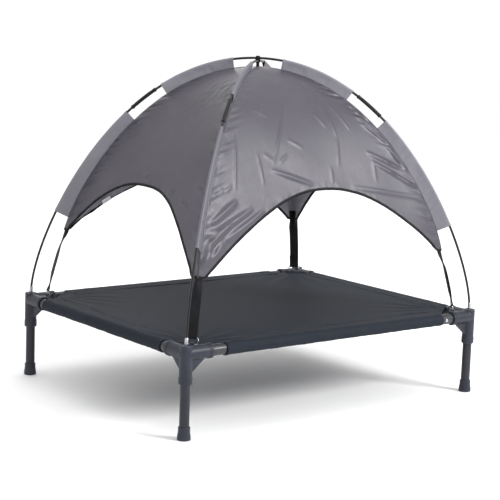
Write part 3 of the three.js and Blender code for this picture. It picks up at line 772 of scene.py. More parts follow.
def make_ferrule(pole, angle, corner, side):
    """A dark metal joining tube with a rolled bead at each end and crimp dents beside them."""
    half = FERRULE_LENGTH / 2
    along = np.concatenate([[-half], steps_between(-half + 0.0004, half - 0.0004, 0.0006), [half]])
    from_end = half - np.abs(along)
    bead = 0.0005 * hump(from_end, 0.002, 0.0016)
    dent = 0.00035 * hump(from_end, 0.009, 0.0012)
    edge = 0.0006 * hump(from_end, 0, 0.0005)
    radius = FERRULE_RADIUS + bead - dent - edge
    stations = side * (JOINT_ARC + along)
    node = f"ferrule_{corner}"
    inner = POLE_RADIUS + 0.00045
    ferrule = pipe_along(node + "_tube", pole, angle, stations, radius, inner, dark_ferrule, 28)
    finish_piece(ferrule, CAD_BODY[node], "dark_ferrule", node)


def make_pole_tip(pole, angle, corner, side):
    """A plated cap on the pole's end, tapered where it comes out of the connector."""
    top = pole.bent - 0.014
    bottom = pole.length - 0.0003
    taper = steps_between(top, top + 0.004, 0.0004)
    stations = np.concatenate([taper, steps_between(top + 0.006, bottom, 0.002)])
    radius = 0.0035 - 0.0007 * hump(stations, top, 0.0014)
    radius = radius + 0.0003 * hump(stations, top + 0.0105, 0.001)
    node = f"pole_tip_{corner}"
    inner = POLE_RADIUS + 0.0002
    tip = pipe_along(node + "_cap", pole, angle, side * stations, radius, inner, bright_tip, 28)
    finish_piece(tip, CAD_BODY[node], "bright_tip", node)


# ------------------------------------------------------------------ canopy surface
HEM_ARC = upper_pole.bent - CORNER_RISE


def fin_height(s):
    share = np.asarray(s, float) / HEM_ARC
    return FIN_AT_CROWN + (FIN_AT_HEM - FIN_AT_CROWN) * share + FIN_TIP_PULL * share**12


def seam(s):
    """Radius and height of a rib seam."""
    r, z, normal_r, normal_z = upper_pole.frame(s)
    fin = fin_height(s)
    return r - fin * normal_r, z - fin * normal_z


SEAM_ARC = np.linspace(0, HEM_ARC, 1200)
SEAM_RADIUS, SEAM_HEIGHT = seam(SEAM_ARC)
TIP_ARC = {corner: HEM_ARC - up for corner, up in CORNER_PULLED_UP.items()}


class Panel:
    """One of the canopy's four panels, between two corners' ribs. lean moves its arch's peak sideways."""

    def __init__(self, corners, arch, width, lean, powers=(ARCH_POWER, ARCH_POWER)):
        self.corners = corners
        self.powers = powers
        self.lean = lean
        self.start, self.end = (
            np.array(CORNERS[corner]) * (LEG_X, LEG_Y) / MIDDLE_TO_LEG for corner in corners
        )
        self.arch = arch
        self.width = width
        self.inward = -unit(self.start + self.end)

    def hem_arc(self, across):
        """Length from the crown to the hem, at a share across the panel."""
        moved = across + self.lean * 4 * across * (1 - across)
        share = np.minimum(1, np.abs(2 * moved - 1) * (1 + TIP_WIDTH / 2 / self.width))
        tips = [np.interp(TIP_ARC[corner], SEAM_ARC, SEAM_HEIGHT) for corner in self.corners]
        first = np.asarray(moved) < 0.5
        height = self.arch - (self.arch - np.where(first, *tips)) * share ** np.where(first, *self.powers)
        return np.interp(-height, -SEAM_HEIGHT, SEAM_ARC)

    def point(self, across, s):
        across, s = np.broadcast_arrays(np.asarray(across, float), np.asarray(s, float))
        radius = np.interp(s, SEAM_ARC, SEAM_RADIUS)
        height = np.interp(s, SEAM_ARC, SEAM_HEIGHT)
        dip = PANEL_DIP * np.sin(math.pi * across) * np.sin(math.pi * s / upper_pole.length)
        plan = self.start * (1 - across[..., None]) + self.end * across[..., None]
        plan = plan * radius[..., None] + self.inward * dip[..., None]
        return np.concatenate([plan, height[..., None]], -1)

    def width_at(self, s):
        return 2 * self.width * np.interp(s, SEAM_ARC, SEAM_RADIUS) / MIDDLE_TO_LEG

    def across_metres(self, across, s):
        """Sideways place from the panel's middle, in metres along the cloth."""
        return (np.asarray(across) - 0.5) * self.width_at(s)


PANELS = {
    "front": Panel(("front_left", "front_right"), FRONT_ARCH, LEG_X, -0.04),
    "right": Panel(("front_right", "back_right"), SIDE_ARCH, LEG_Y, 0.0),
    "back": Panel(("back_right", "back_left"), FRONT_ARCH, LEG_X, 0.0),
    "left": Panel(("back_left", "front_left"), SIDE_ARCH, LEG_Y, 0.057, (ARCH_POWER, STEEP_ARCH_POWER)),
}


# ------------------------------------------------------------------ wrinkles
def fold(x, y, start, end, height, width, sharpness):
    """A raised fold from start to end, both (across, down) in metres, which fades at its ends."""
    (x0, y0), (x1, y1) = start, end
    long = math.hypot(x1 - x0, y1 - y0)
    way = ((x1 - x0) / long, (y1 - y0) / long)
    along = ((x - x0) * way[0] + (y - y0) * way[1]) / long
    off = (x - x0) * -way[1] + (y - y0) * way[0]
    taper = np.sin(math.pi * np.clip(along, 0, 1)) ** 0.6
    return height * taper * np.exp(-(np.abs(off / width) ** (2 / sharpness)))


def soft_wrinkles(panel, across, s, seed):
    """Broad unevenness and puckers beside the two rib seams, as a height off the panel."""
    x = panel.across_metres(across, s)
    near_rib = np.minimum(across, 1 - across) * panel.width_at(s)
    height = 0.0016 * smooth_noise(x, s * 0.7, seed, 0.085)
    pucker = smooth_noise(s + 0.35 * near_rib, near_rib * 0.12, seed + 3, 0.0095)
    height = height + 0.0030 * pucker * hump(near_rib, 0.012, 0.018) * fade(s, 0.08, 0.16)
    crinkled = hump(x, 0.06, 0.07) * hump(s, 0.17, 0.06)
    crumple = smooth_noise(x + 0.4 * s, 0.7 * s - 0.3 * x, seed + 7, 0.014)
    crumple = crumple + 0.6 * smooth_noise(x, s, seed + 9, 0.006)
    height = height + 0.0012 * crinkled * crumple
    hem = panel.hem_arc(across) - s
    ripple = smooth_noise(x + 0.2 * hem, hem * 0.2, seed + 5, 0.014)
    height = height + 0.0010 * ripple * hump(hem, 0.006, 0.010)
    return height * fade(near_rib, 0.0, 0.008) * fade(s, 0.01, 0.05)


# A fold is (start, end, height, width, sharpness), with its ends in metres: across from the panel's
# middle, and down from the crown.
def creases(height, width, sharpness, *lines):
    return [(start, end, height, width, sharpness) for start, end in lines]


FRONT_FOLDS = [
    *creases(  # pressed in while the canopy was packed
        0.0017,
        0.0023,
        1.3,
        ((-0.015, 0.22), (-0.095, 0.39)),
        ((-0.13, 0.36), (-0.13, 0.44)),
        ((-0.175, 0.315), (-0.205, 0.45)),
        ((-0.11, 0.24), (-0.075, 0.265)),
        ((-0.075, 0.22), (-0.10, 0.265)),
        ((-0.245, 0.44), (-0.23, 0.45)),
        ((-0.23, 0.45), (-0.21, 0.435)),
        ((-0.115, 0.365), (-0.09, 0.385)),
        ((-0.08, 0.39), (-0.055, 0.37)),
        ((-0.045, 0.33), (-0.01, 0.355)),
        ((0.045, 0.255), (0.065, 0.30)),
        ((0.08, 0.225), (0.085, 0.33)),
        ((0.085, 0.33), (0.07, 0.405)),
        ((0.095, 0.23), (0.125, 0.31)),
        ((0.05, 0.405), (0.045, 0.445)),
        ((0.165, 0.39), (0.16, 0.445)),
    ),
    *creases(  # drawn from the right rib, where the pole shows
        0.0038,
        0.0040,
        1.1,
        ((-0.105, 0.405), (-0.005, 0.445)),
        ((0.15, 0.37), (0.25, 0.425)),
        ((0.16, 0.395), (0.27, 0.465)),
        ((0.15, 0.23), (0.185, 0.285)),
        ((0.155, 0.27), (0.205, 0.325)),
        ((0.16, 0.29), (0.225, 0.36)),
        ((0.21, 0.355), (0.25, 0.425)),
    ),
    *creases(0.0026, 0.004, 1.0, ((0.095, 0.455), (0.28, 0.49))),
    *creases(  # drawn up from the front corner by its strap
        0.0052,
        0.0060,
        1.0,
        ((-0.275, 0.515), (-0.205, 0.47)),
        ((-0.285, 0.545), (-0.17, 0.49)),
        ((-0.25, 0.555), (-0.14, 0.495)),
        ((-0.30, 0.57), (-0.23, 0.52)),
        ((-0.31, 0.60), (-0.28, 0.565)),
        ((-0.295, 0.60), (-0.25, 0.555)),
    ),
]
LEFT_FOLDS = [
    *creases(
        0.0032,
        0.0042,
        1.0,
        ((-0.17, 0.345), (-0.125, 0.305)),
        ((-0.18, 0.365), (-0.115, 0.34)),
        ((-0.185, 0.38), (-0.145, 0.36)),
        ((-0.19, 0.395), (-0.155, 0.385)),
        ((-0.205, 0.43), (-0.185, 0.41)),
        ((-0.235, 0.52), (-0.21, 0.50)),
    ),
    *creases(
        0.0017,
        0.0030,
        1.0,
        ((-0.145, 0.48), (-0.11, 0.47)),
        ((-0.035, 0.44), (-0.01, 0.435)),
        ((0.065, 0.46), (0.095, 0.465)),
        ((0.12, 0.475), (0.16, 0.49)),
        ((0.155, 0.44), (0.19, 0.445)),
    ),
]


def mirrored(folds):
    """The same folds on the other half of a panel."""
    return [((-x0, y0), (-x1, y1), *rest) for (x0, y0), (x1, y1), *rest in folds]


FOLDS = {
    "front": FRONT_FOLDS,
    "left": LEFT_FOLDS,
    "back": mirrored(FRONT_FOLDS),
    "right": mirrored(LEFT_FOLDS),
}


def wrinkles(name, across, s):
    panel = PANELS[name]
    height = soft_wrinkles(panel, across, s, {"front": 1, "left": 2, "right": 3, "back": 4}[name])
    x = panel.across_metres(across, s)
    near_rib = np.minimum(across, 1 - across) * 2 * panel.width
    for start, end, high, wide, sharpness in FOLDS[name]:
        height = height + fold(x, s, start, end, high, wide, sharpness) * fade(near_rib, 0.0, 0.01)
    return height


def surface_point(name, across, s):
    """The wrinkled panel: its smooth point moved along its normal."""
    panel = PANELS[name]
    step = 0.0005
    middle = np.clip(across, 0.002, 0.998)
    down = panel.point(middle, s + step) - panel.point(middle, s - step)
    along = panel.point(middle + 0.001, s) - panel.point(middle - 0.001, s)
    out = np.cross(along, down)
    out = -out / np.maximum(np.linalg.norm(out, axis=-1), 1e-12)[..., None]
    return panel.point(across, s) + out * wrinkles(name, across, s)[..., None]


# ------------------------------------------------------------------ canopy pieces
SEAM_ALLOWANCE = 0.008  # of cloth along each rib seam, on both of its panels


def cover_area():
    """Flat area of the four panels as cut, with the cloth in their rib seams."""
    total = 2 * SEAM_ALLOWANCE * sum(TIP_ARC.values())
    across = np.linspace(0, 1, 201)[None]
    down = np.linspace(0, 1, 101)[:, None]
    for panel in PANELS.values():
        points = panel.point(across, panel.hem_arc(across) * down)
        sideways = np.diff(points, axis=1)[:-1]
        downward = np.diff(points, axis=0)[:, :-1]
        total += float(np.linalg.norm(np.cross(sideways, downward), axis=-1).sum())
    return total


COVER_THICKNESS = 0.0007
COVER_ROWS = 112
COVER_COLUMNS = {"front": 200, "left": 104, "back": 72, "right": 64}


def make_cover():
    """The four panels as one sheet: their shared rib seams are welded."""
    points, faces, uv = [], [], []
    count = 0
    for offset, (name, columns) in enumerate(COVER_COLUMNS.items()):
        panel = PANELS[name]
        across = np.linspace(0, 1, columns + 1)
        hem = panel.hem_arc(across)
        share = np.linspace(0, 1, COVER_ROWS + 1)[:, None]
        s = hem[None] * share
        grid = surface_point(name, np.broadcast_to(across, s.shape), s)
        points.append(grid.reshape(-1, 3))
        x = panel.across_metres(across[None], s) + offset
        uv.append(np.stack([x, s], -1).reshape(-1, 2))
        faces += grid_faces(COVER_ROWS + 1, columns + 1, start=count)
        count += s.size
    # The inner face takes the copy of the cloth that is painted with the glow of light through it.
    looks = [canopy_cloth, canopy_inside_painted_glow]
    points, uv = np.concatenate(points), np.concatenate(uv)
    cover = mesh_object("canopy_sheet", points, faces, looks, uv, sharp=60)
    sheet_faces_out(cover, (0, 0, CROWN), (0, 0, 1), weld=0.00002)
    cover.data.shade_smooth()
    thicken(cover, COVER_THICKNESS, inner_look=1)
    finish_piece(cover, "canopy", "canopy_cloth", "canopy_cover")
    return cover


def hem_line(name, start, end, count):
    """Points on a panel's hem, with the ways up it and out of the cloth at each."""
    across = np.linspace(start, end, count)
    s = PANELS[name].hem_arc(across)
    line = surface_point(name, across, s)
    above = surface_point(name, across, s - 0.002)
    way = unit(np.gradient(line, axis=0))
    rise = above - line
    rise = unit(rise - (rise * way).sum(1)[:, None] * way)
    out = np.cross(rise, way)
    out *= np.sign((out * (line - [0, 0, line[:, 2].mean()])).sum(1))[:, None]
    return line, rise, out


# Of one side of the binding: height above the hem, and half the tape's thickness there.
BINDING_SECTION = [(0.0042, 0.00075), (0.0022, 0.0010), (0.0002, 0.0012), (-0.0010, 0.0009)]


def make_binding(name):
    """Black tape folded over a panel's hem, stitched along its upper edge."""
    line, rise, out = hem_line(name, 0.004, 0.996, 170)
    line = line - out * (COVER_THICKNESS / 2)
    outline = BINDING_SECTION + [(-0.0014, 0.0)] + [(h, -t) for h, t in reversed(BINDING_SECTION)]
    wander = smooth_noise(np.arange(len(line)) * 0.006, 0.0, 11, 0.03) * 0.0003
    rings = np.stack([line + rise * (h + wander[:, None]) + out * t for h, t in outline], axis=1)
    points, faces = closed_tube(rings)
    node = f"edge_binding_{name}"
    tape = faces_out(mesh_object(node + "_tape", points, faces, black_tape, sharp=50))
    finish_piece(tape, "canopy", "black_webbing", node)


# ------------------------------------------------------------------ sleeves round the poles
SLEEVE_WALL = 0.0004
SLEEVE_BORE = POLE_RADIUS + 0.0002


def seam_gap(pole, s):
    """Distance from a pole to the rib seam below it."""
    r, z, _, _ = pole.frame(np.abs(s))
    apart = np.hypot(r[:, None] - SEAM_RADIUS[None], z[:, None] - SEAM_HEIGHT[None])
    return apart.min(1)


def make_sleeve(kind, pole_name, corner, side, start, end, seed):
    """A strip of cloth folded round the pole, with its two edges sewn into the rib seam."""
    pole, angle, _ = POLES[pole_name]
    inner_stations = steps_between(start + 0.0018, end - 0.0018, 0.0022)
    stations = np.concatenate([[start, start + 0.0006], inner_stations, [end - 0.0006, end]])
    fin = seam_gap(pole, stations) + 0.0009
    from_end = np.minimum(stations - start, end - stations)
    hem = 0.00045 * (1 - fade(from_end, 0.006, 0.0072))
    loop = np.radians(np.linspace(-118, 118, 25))
    drop = np.linspace(0, 1, 17)[1:]
    radius = SLEEVE_BORE + SLEEVE_WALL
    waist = radius * math.sin(loop[-1])
    from_out = radius * math.cos(loop[-1])
    sections = []
    for i, s in enumerate(stations):
        pole_gap = radius + hem[i] + 0.00012 * (1 + noise.noise(Vector((s / 0.02, seed, 0.5))))
        ring = [(pole_gap * math.cos(a), pole_gap * math.sin(a)) for a in loop]
        sides = {}
        for hand in (-1, 1):
            bulge = noise.noise(Vector((s / 0.011, hand * 4.0 + seed, 1.7)))
            wide = noise.noise(Vector((s / 0.034, hand * 2.0 + seed, 4.1)))
            crinkle = noise.noise(Vector((s / 0.0055, hand * 3.0 + seed, 6.3)))
            wing = []
            for t in drop:
                out = from_out + (-fin[i] - from_out) * t
                width = waist * (1 - t) ** 1.7 + 0.0005 + hem[i]
                swell = (0.0008 * bulge + 0.0006 * wide) * math.sin(math.pi * t)
                swell += 0.0007 * crinkle * math.sin(math.pi * t ** 1.6)
                swell *= min(1, from_end[i] / 0.01 + 0.3)
                wing.append((out, hand * max(0.0004, width + swell)))
            sides[hand] = wing
        lean = 0.0012 * noise.noise(Vector((s / 0.05, seed + 9, 2.2)))
        section = sides[-1][::-1] + ring + sides[1]
        depth = np.clip([-o / fin[i] for o, _ in section], 0, 1)
        section = [(o, a + lean * math.sin(math.pi * d)) for (o, a), d in zip(section, depth)]
        sections.append(section)
    section = np.array(sections)
    points = pole.place(side * stations[:, None], section[:, :, 0], section[:, :, 1], angle)
    steps = np.linalg.norm(np.diff(section, axis=1), axis=-1)
    lengths = np.pad(np.cumsum(steps, axis=1), ((0, 0), (1, 0)))
    uv = np.stack([lengths, np.broadcast_to(stations[:, None], lengths.shape)], -1)
    faces = grid_faces(*points.shape[:2])
    node = f"pole_sleeve_{kind}_{corner}"
    # Pole a's sleeves take the copy with painted glow, pole b's the copy with painted shade.
    look = SLEEVE_LOOKS[pole_name]
    sleeve = mesh_object(node + "_cloth", points.reshape(-1, 3), faces, look, uv.reshape(-1, 2), sharp=70)
    inside, top = pole.place(side * (start + end) / 2, np.array([0.0, radius]), np.zeros(2), angle)
    sheet_faces_out(sleeve, top, top - inside)
    thicken(sleeve, SLEEVE_WALL)
    finish_piece(sleeve, "canopy", "sleeve_cloth", node)


def make_sleeves():
    window = FERRULE_WINDOW / 2
    sleeve_end = upper_pole.bent - SLEEVE_RISE
    seed = 1
    for pole_name, (_, _, ends) in POLES.items():
        for corner, side in zip(ends, (-1, 1)):
            make_sleeve("upper", pole_name, corner, side, SLEEVE_CROWN_START, JOINT_ARC - window, seed)
            make_sleeve("lower", pole_name, corner, side, JOINT_ARC + window, sleeve_end, seed + 20)
            seed += 1


# ------------------------------------------------------------------ straps, rings and apex tie
ring_low, ring_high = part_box("strap_ring_front_right")
RING_BOTTOM = ring_low.z
RING_TOP = ring_high.z
RING_INSET = 0.0368  # leg axis to the ring
RING_RADIUS = MIDDLE_TO_LEG - RING_INSET
RING_BEND = 0.0042
RING_HALF_WIDTH = STRAP_WIDTH / 2 + 0.001 + RING_WIRE / 2
STRAP_BEHIND_COVER = 0.0034
STRAP_SEWN_LENGTH = 0.022  # of the strap's end, up inside the canopy's corner
STRAP_FOLDED_LENGTH = 0.035  # below the corner, where the strap flattens out
STRAP_TWIST = {"front_left": 4, "front_right": 13, "back_left": 22, "back_right": -14}  # degrees


def corner_angle(corner):
    x, y = CORNERS[corner]
    return math.atan2(y * LEG_Y, x * LEG_X)


def in_corner(corner, radius, across, height):
    """A point in a corner's upright plane, or across from it."""
    angle = corner_angle(corner)
    x, y = math.cos(angle), math.sin(angle)
    places = (np.asarray(value, float) for value in (radius, across, height))
    radius, across, height = np.broadcast_arrays(*places)
    return np.stack([radius * x + across * y, radius * y - across * x, height], -1)


def make_ring(corner):
    """A bent wire loop with round corners, held under the connector's catch."""
    half = RING_HALF_WIDTH
    low, high = RING_BOTTOM + RING_WIRE / 2, RING_TOP - RING_WIRE / 2
    bend = RING_BEND
    loop = []
    for (cx, cz), start in (
        ((half - bend, high - bend), 0),
        ((-half + bend, high - bend), 90),
        ((-half + bend, low + bend), 180),
        ((half - bend, low + bend), 270),
    ):
        for a in np.radians(np.linspace(start, start + 90, 9)):
            loop.append((cx + bend * math.cos(a), cz + bend * math.sin(a)))
    loop = np.array(loop)
    line = in_corner(corner, RING_RADIUS, loop[:, 0], loop[:, 1])
    way = unit(np.roll(line, -1, 0) - np.roll(line, 1, 0))
    side = in_corner(corner, 1.0, 0, 0)
    over = np.cross(way, side)
    turn = np.linspace(0, 2 * math.pi, 14, endpoint=False)
    rings = line[:, None] + RING_WIRE / 2 * (
        np.cos(turn)[None, :, None] * side + np.sin(turn)[None, :, None] * over[:, None]
    )
    faces = grid_faces(len(loop), len(turn), wrap_rows=True, wrap_columns=True)
    node = f"strap_ring_{corner}"
    ring = faces_out(mesh_object(node + "_wire", rings.reshape(-1, 3), faces, bright_wire))
    finish_piece(ring, "bed", "bright_wire", node)


def ribbon(name, corner, path, crease, twist):
    """A strap along a path of (radius, height) in a corner's plane, with rounded selvedges.

    crease is how far each station is folded back along the canopy's two panels, from 0 to 1, and
    twist the angle that it is turned by about its own length."""
    path = np.asarray(path, float)
    way = unit(np.gradient(path, axis=0))
    normal = np.stack([-way[:, 1], way[:, 0]], 1)
    half_width, half = STRAP_WIDTH / 2, STRAP_THICKNESS / 2
    section = [(w, half) for w in np.linspace(-1, 1, 9) * (half_width - half)]
    section += [(half_width, 0.0)]
    section += [(w, -half) for w in np.linspace(1, -1, 9) * (half_width - half)]
    section += [(-half_width, 0.0)]
    wide, off = np.array(section).T
    side_x, side_y = CORNERS[corner]
    onto_long_panel = np.sign(wide) == -side_x * side_y
    back = np.where(onto_long_panel, math.pi / 2 - DIAGONAL, DIAGONAL)
    rings = []
    for (r, z), (nr, nz), fold_share, turn in zip(path, normal, crease, twist):
        angle = back * fold_share
        across = wide * np.cos(angle)
        inward = -np.abs(wide) * np.sin(angle)
        flat_across = across * math.cos(turn) + off * math.sin(turn)
        flat_off = off * math.cos(turn) - across * math.sin(turn)
        rings.append(in_corner(corner, r + nr * flat_off + inward, flat_across, z + nz * flat_off))
    points, faces = closed_tube(np.array(rings))
    return faces_out(mesh_object(name, points, faces, black_webbing, sharp=50))


def make_strap(corner):
    """Webbing looped round the ring's upper bar and sewn to itself and inside the canopy's corner."""
    node = f"corner_strap_{corner}"
    bar_z = RING_TOP - RING_WIRE / 2
    wrap = RING_WIRE / 2 + STRAP_THICKNESS / 2 + 0.00015
    tip_arc = TIP_ARC[corner]
    tip_r, tip_z = (float(v) for v in seam(tip_arc))
    normal_r, normal_z = (float(v) for v in upper_pole.frame(tip_arc)[2:])
    top_r = tip_r - STRAP_BEHIND_COVER * normal_r
    top_z = tip_z - STRAP_BEHIND_COVER * normal_z
    sewn_r, sewn_z = (float(v) for v in seam(tip_arc - STRAP_SEWN_LENGTH))
    sewn_r, sewn_z = sewn_r - STRAP_BEHIND_COVER * normal_r, sewn_z - STRAP_BEHIND_COVER * normal_z
    lean = (top_r - RING_RADIUS) / (top_z - bar_z)

    def off_line(h):
        """How far the webbing stands off the strap's line, at a height above the bar."""
        return wrap * (0.55 + 0.45 * math.cos(math.pi * min(1, h / 0.012)))

    tail = [
        (RING_RADIUS + lean * h - off_line(h), bar_z + h) for h in np.linspace(0.026, 0.001, 12)
    ]
    loop = [
        (RING_RADIUS - wrap * math.cos(a), bar_z - wrap * math.sin(a))
        for a in np.radians(np.linspace(0, 180, 15))
    ]
    rise = []
    for h in np.linspace(0.0015, top_z - bar_z, 48):
        slack = 0.0012 * math.sin(math.pi * h / (top_z - bar_z))
        rise.append((RING_RADIUS + lean * h + off_line(h) + slack, bar_z + h))
    last = np.array(rise[-1])
    over = [tuple(last + (np.array([sewn_r, sewn_z]) - last) * t) for t in (0.25, 0.5, 0.75, 1.0)]
    path = np.array(tail + loop + rise + over)
    crease = fade(path[:, 1], top_z - STRAP_FOLDED_LENGTH, top_z - 0.002)
    climb = (path[:, 1] - bar_z) / (top_z - bar_z)
    twist = math.radians(STRAP_TWIST[corner]) * fade(climb, 0.02, 0.3) * (1 - fade(climb, 0.55, 1.0))
    twist[: len(tail) + len(loop)] = 0.0
    strap = ribbon(node + "_webbing", corner, path, crease, twist)
    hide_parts(node)
    ground = in_corner(corner, RING_RADIUS, 0, RING_TOP + 0.028)
    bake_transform(strap)


def make_apex_tie():
    """A black tape that goes round both poles where they cross and down to the cover's top."""
    centre_z = CROWN - POLE_STEP_DOWN / 2
    half_wide = 0.0042
    half_high = (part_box("apex_tie")[1].z - centre_z) - 0.0006
    turn = np.linspace(0, 2 * math.pi, 40, endpoint=False)
    round_x, round_z = (np.sign(way) * np.abs(way) ** 0.8 for way in (np.cos(turn), np.sin(turn)))
    half_tape = 0.003
    wall = 0.0011
    inner = np.stack([half_wide * round_x, half_high * round_z], 1)
    outer = inner * (1 + wall / np.linalg.norm(inner, axis=1))[:, None]
    rings = []
    for shell, side in ((inner, -1), (outer, -1), (outer, 1), (inner, 1)):
        rings.append([(x, side * half_tape, centre_z + z) for x, z in shell])
    points = np.array(rings)
    faces = grid_faces(4, len(turn), wrap_rows=True, wrap_columns=True)
    band = faces_out(mesh_object("apex_band", points.reshape(-1, 3), faces, black_webbing, sharp=50))
    tail_top = centre_z - half_high - wall / 2
    tail_bottom = CROWN - FIN_AT_CROWN - 0.0015
    stations = np.linspace(tail_top, tail_bottom, 10)
    wide, thick = 0.003, 0.0010
    tail = []
    for z in stations:
        flare = 1 + 0.5 * fade(-z, -tail_bottom - 0.004, -tail_bottom)
        sway = 0.0004 * math.sin((z - tail_bottom) * 400)
        tail.append([(x * thick + sway, y * wide * flare, z) for x, y in SQUARE])
    points, faces = closed_tube(np.array(tail))
    strip = faces_out(mesh_object("apex_tail", points, faces, black_webbing, sharp=50))
    tie = joined("apex_tie_tape", [band, strip])
    tie.data.transform(Matrix.Rotation(0.45, 4, "Z"))
    finish_piece(tie, "canopy", "black_webbing", "apex_tie")


LABEL_ACROSS = 0.125  # of the back panel's width, from its left corner
LABEL_ABOVE_HEM = 0.009
LABEL_WIDTH = 0.022
LABEL_HEIGHT = 0.010
LABEL_GAP = 0.0038
LABEL_CURL = 0.0010


def make_label():
    """A blank tag sewn by its top edge inside the back panel, along the hem."""
    panel = PANELS["back"]
    middle = 1 - LABEL_ACROSS
    step = 0.01
    s = float(panel.hem_arc(middle)) - LABEL_ABOVE_HEM - LABEL_HEIGHT / 2
    before, after = (panel.point(a, panel.hem_arc(a)) for a in (middle - step, middle + step))
    along = unit(after - before)
    down = panel.point(middle, s + step) - panel.point(middle, s - step)
    out = np.cross(down, along)
    out *= np.sign(out[1]) / np.linalg.norm(out)
    up = np.cross(along, out)
    up *= np.sign(up[2])
    rows = np.linspace(-0.5, 0.5, 9)[:, None, None]
    columns = np.linspace(-0.5, 0.5, 13)[None, :, None]
    loose = LABEL_GAP + LABEL_CURL * (0.5 - rows) ** 2
    points = panel.point(middle, s) + columns * LABEL_WIDTH * along + rows * LABEL_HEIGHT * up
    points = points - loose * out
    label = mesh_object("care_label_tag", points.reshape(-1, 3), grid_faces(9, 13), white_tag)
    thicken(label, 0.0003)
    finish_piece(label, "canopy", "white_tag", "care_label")


# ------------------------------------------------------------------ bed frame
LEG_WALL = 0.0012
RAIL_WALL = 0.0011
TUBE_EDGE = 0.0004  # size of the bevel at a tube's end


def make_leg(corner):
    x, y = CORNERS[corner][0] * LEG_X, CORNERS[corner][1] * LEG_Y
    low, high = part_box(f"leg_{corner}")
    outer, bore = LEG_RADIUS, LEG_RADIUS - LEG_WALL
    profile = [
        (outer, low.z),
        *[(outer, z) for z in np.linspace(low.z + 0.001, high.z - 0.0005, 12)],
        (outer - TUBE_EDGE, high.z),
        (bore, high.z),
        (bore, low.z),
        (outer, low.z),
    ]
    leg = turned(f"leg_{corner}_tube", profile, "z", (x, y, 0), slate_paint, 56)
    finish_piece(leg, "bed", "slate_paint", f"leg_{corner}")


def make_foot(corner):
    """A rubber-like cap: a flared base with a rounded edge, a waist and a thin lip round the leg."""
    x, y = CORNERS[corner][0] * LEG_X, CORNERS[corner][1] * LEG_Y
    bore = LEG_RADIUS + 0.0002
    wide, narrow = FOOT_RADIUS, FOOT_TOP_RADIUS
    round_base, round_lip = 0.0018, 0.0008
    profile = [
        (0.0, 0.0),
        (wide - 0.004, 0.0),
        *arc_profile(wide - round_base, round_base, round_base, -90, 0, 6),
        (wide - 0.0001, 0.006),
        (wide - 0.0004, 0.009),
        (wide - 0.001, 0.012),
        (narrow + 0.0002, 0.0145),
        (narrow, 0.017),
        (narrow, 0.0225),
        *arc_profile(narrow - round_lip, FOOT_HEIGHT - round_lip, round_lip, 0, 90),
        (bore, FOOT_HEIGHT),
        (bore, FOOT_FLOOR),
        (0.0, FOOT_FLOOR),
    ]
    node = f"foot_cap_{corner}"
    foot = turned(node + "_moulding", profile, "z", (x, y, 0), slate_plastic, 56)
    finish_piece(foot, "bed", "slate_plastic", node)


def make_rail(node, axis, half, at):
    radius, bore = RAIL_RADIUS, RAIL_RADIUS - RAIL_WALL
    profile = [
        (radius - TUBE_EDGE, -half),
        (radius, -half + TUBE_EDGE),
        *[(radius, place) for place in np.linspace(-half + 0.01, half - 0.01, 24)],
        (radius, half - TUBE_EDGE),
        (radius - TUBE_EDGE, half),
        (bore, half),
        (bore, -half),
        (radius - TUBE_EDGE, -half),
    ]
    rail = turned(node + "_tube", profile, axis, at, rail_paint, 64)
    finish_piece(rail, "bed", "slate_paint", node)


BUTTON_RADIUS = 0.00375
BUTTON_ROUNDING = 0.0012
FLANGE_THICKNESS = 0.0012
FLANGE_EDGE = 0.0003


def make_button(node):
    """A spring button: a domed plunger with a flange inside the rail."""
    low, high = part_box(node)
    side = -1 if (low.y + high.y) < 0 else 1
    centre = (low + high) / 2
    outer = abs(low.y if side < 0 else high.y)
    inner = abs(high.y if side < 0 else low.y)
    flange = (high.z - low.z) / 2
    head = BUTTON_RADIUS - BUTTON_ROUNDING
    profile = [
        (0.0, inner),
        (flange - 0.0002, inner),
        (flange, inner + FLANGE_EDGE),
        (flange, inner + FLANGE_THICKNESS - FLANGE_EDGE),
        (flange - 0.0002, inner + FLANGE_THICKNESS),
        (BUTTON_RADIUS, inner + FLANGE_THICKNESS),
        *arc_profile(head, outer - BUTTON_ROUNDING, BUTTON_ROUNDING, 0, 78, 6),
        (0.0, outer),
    ]
    profile = [(r, side * p) for r, p in profile]
    button = turned(node + "_plunger", profile, "y", (centre.x, 0, centre.z), bright_tip, 40)
    finish_piece(button, CAD_BODY[node], "bright_tip", node)


# ------------------------------------------------------------------ corner connectors
def prism(outline, low, high, plane="xy"):
    """An outline of points, pulled from low to high along the axis that its plane leaves out."""
    order = {"xy": (0, 1, 2), "xz": (0, 2, 1), "yz": (1, 2, 0)}[plane]
    points = []
    for level in (low, high):
        for a, b in outline:
            point = [0.0, 0.0, 0.0]
            point[order[0]], point[order[1]], point[order[2]] = a, b, level
            points.append(point)
    n = len(outline)
    faces = [[i, (i + 1) % n, n + (i + 1) % n, n + i] for i in range(n)]
    faces += [list(range(n)), list(range(n, 2 * n))[::-1]]
    return faces_out(mesh_object("part", points, faces, slate_plastic))


FIT_GAP = 0.0003  # round a tube in its socket
WEB_REACH = 0.046
WEB_CORNER = 0.013  # where the web's slanting edge begins, beside a rail
WEB_DEPTH = 0.008
LIP_WIDTH = 0.0025
GUSSET_REACH = 0.042
GUSSET_DROP = 0.024  # below the rail socket
GUSSET_HALF = 0.003
COLLAR_HEIGHT = 0.0158
POLE_HOLE = 0.004  # radius, with a countersunk rim
POLE_HOLE_RIM = 0.0052
VOXEL = 0.0009


def solid_of(*steps, axis="z", height=0.0, sides=64):
    """A round solid about an axis: (radius, place) steps, closed to the axis at both ends."""
    profile = [(0.0, steps[0][1]), *steps, (0.0, steps[-1][1])]
    return turned("part", profile, axis, (0, 0, height), slate_plastic, sides)


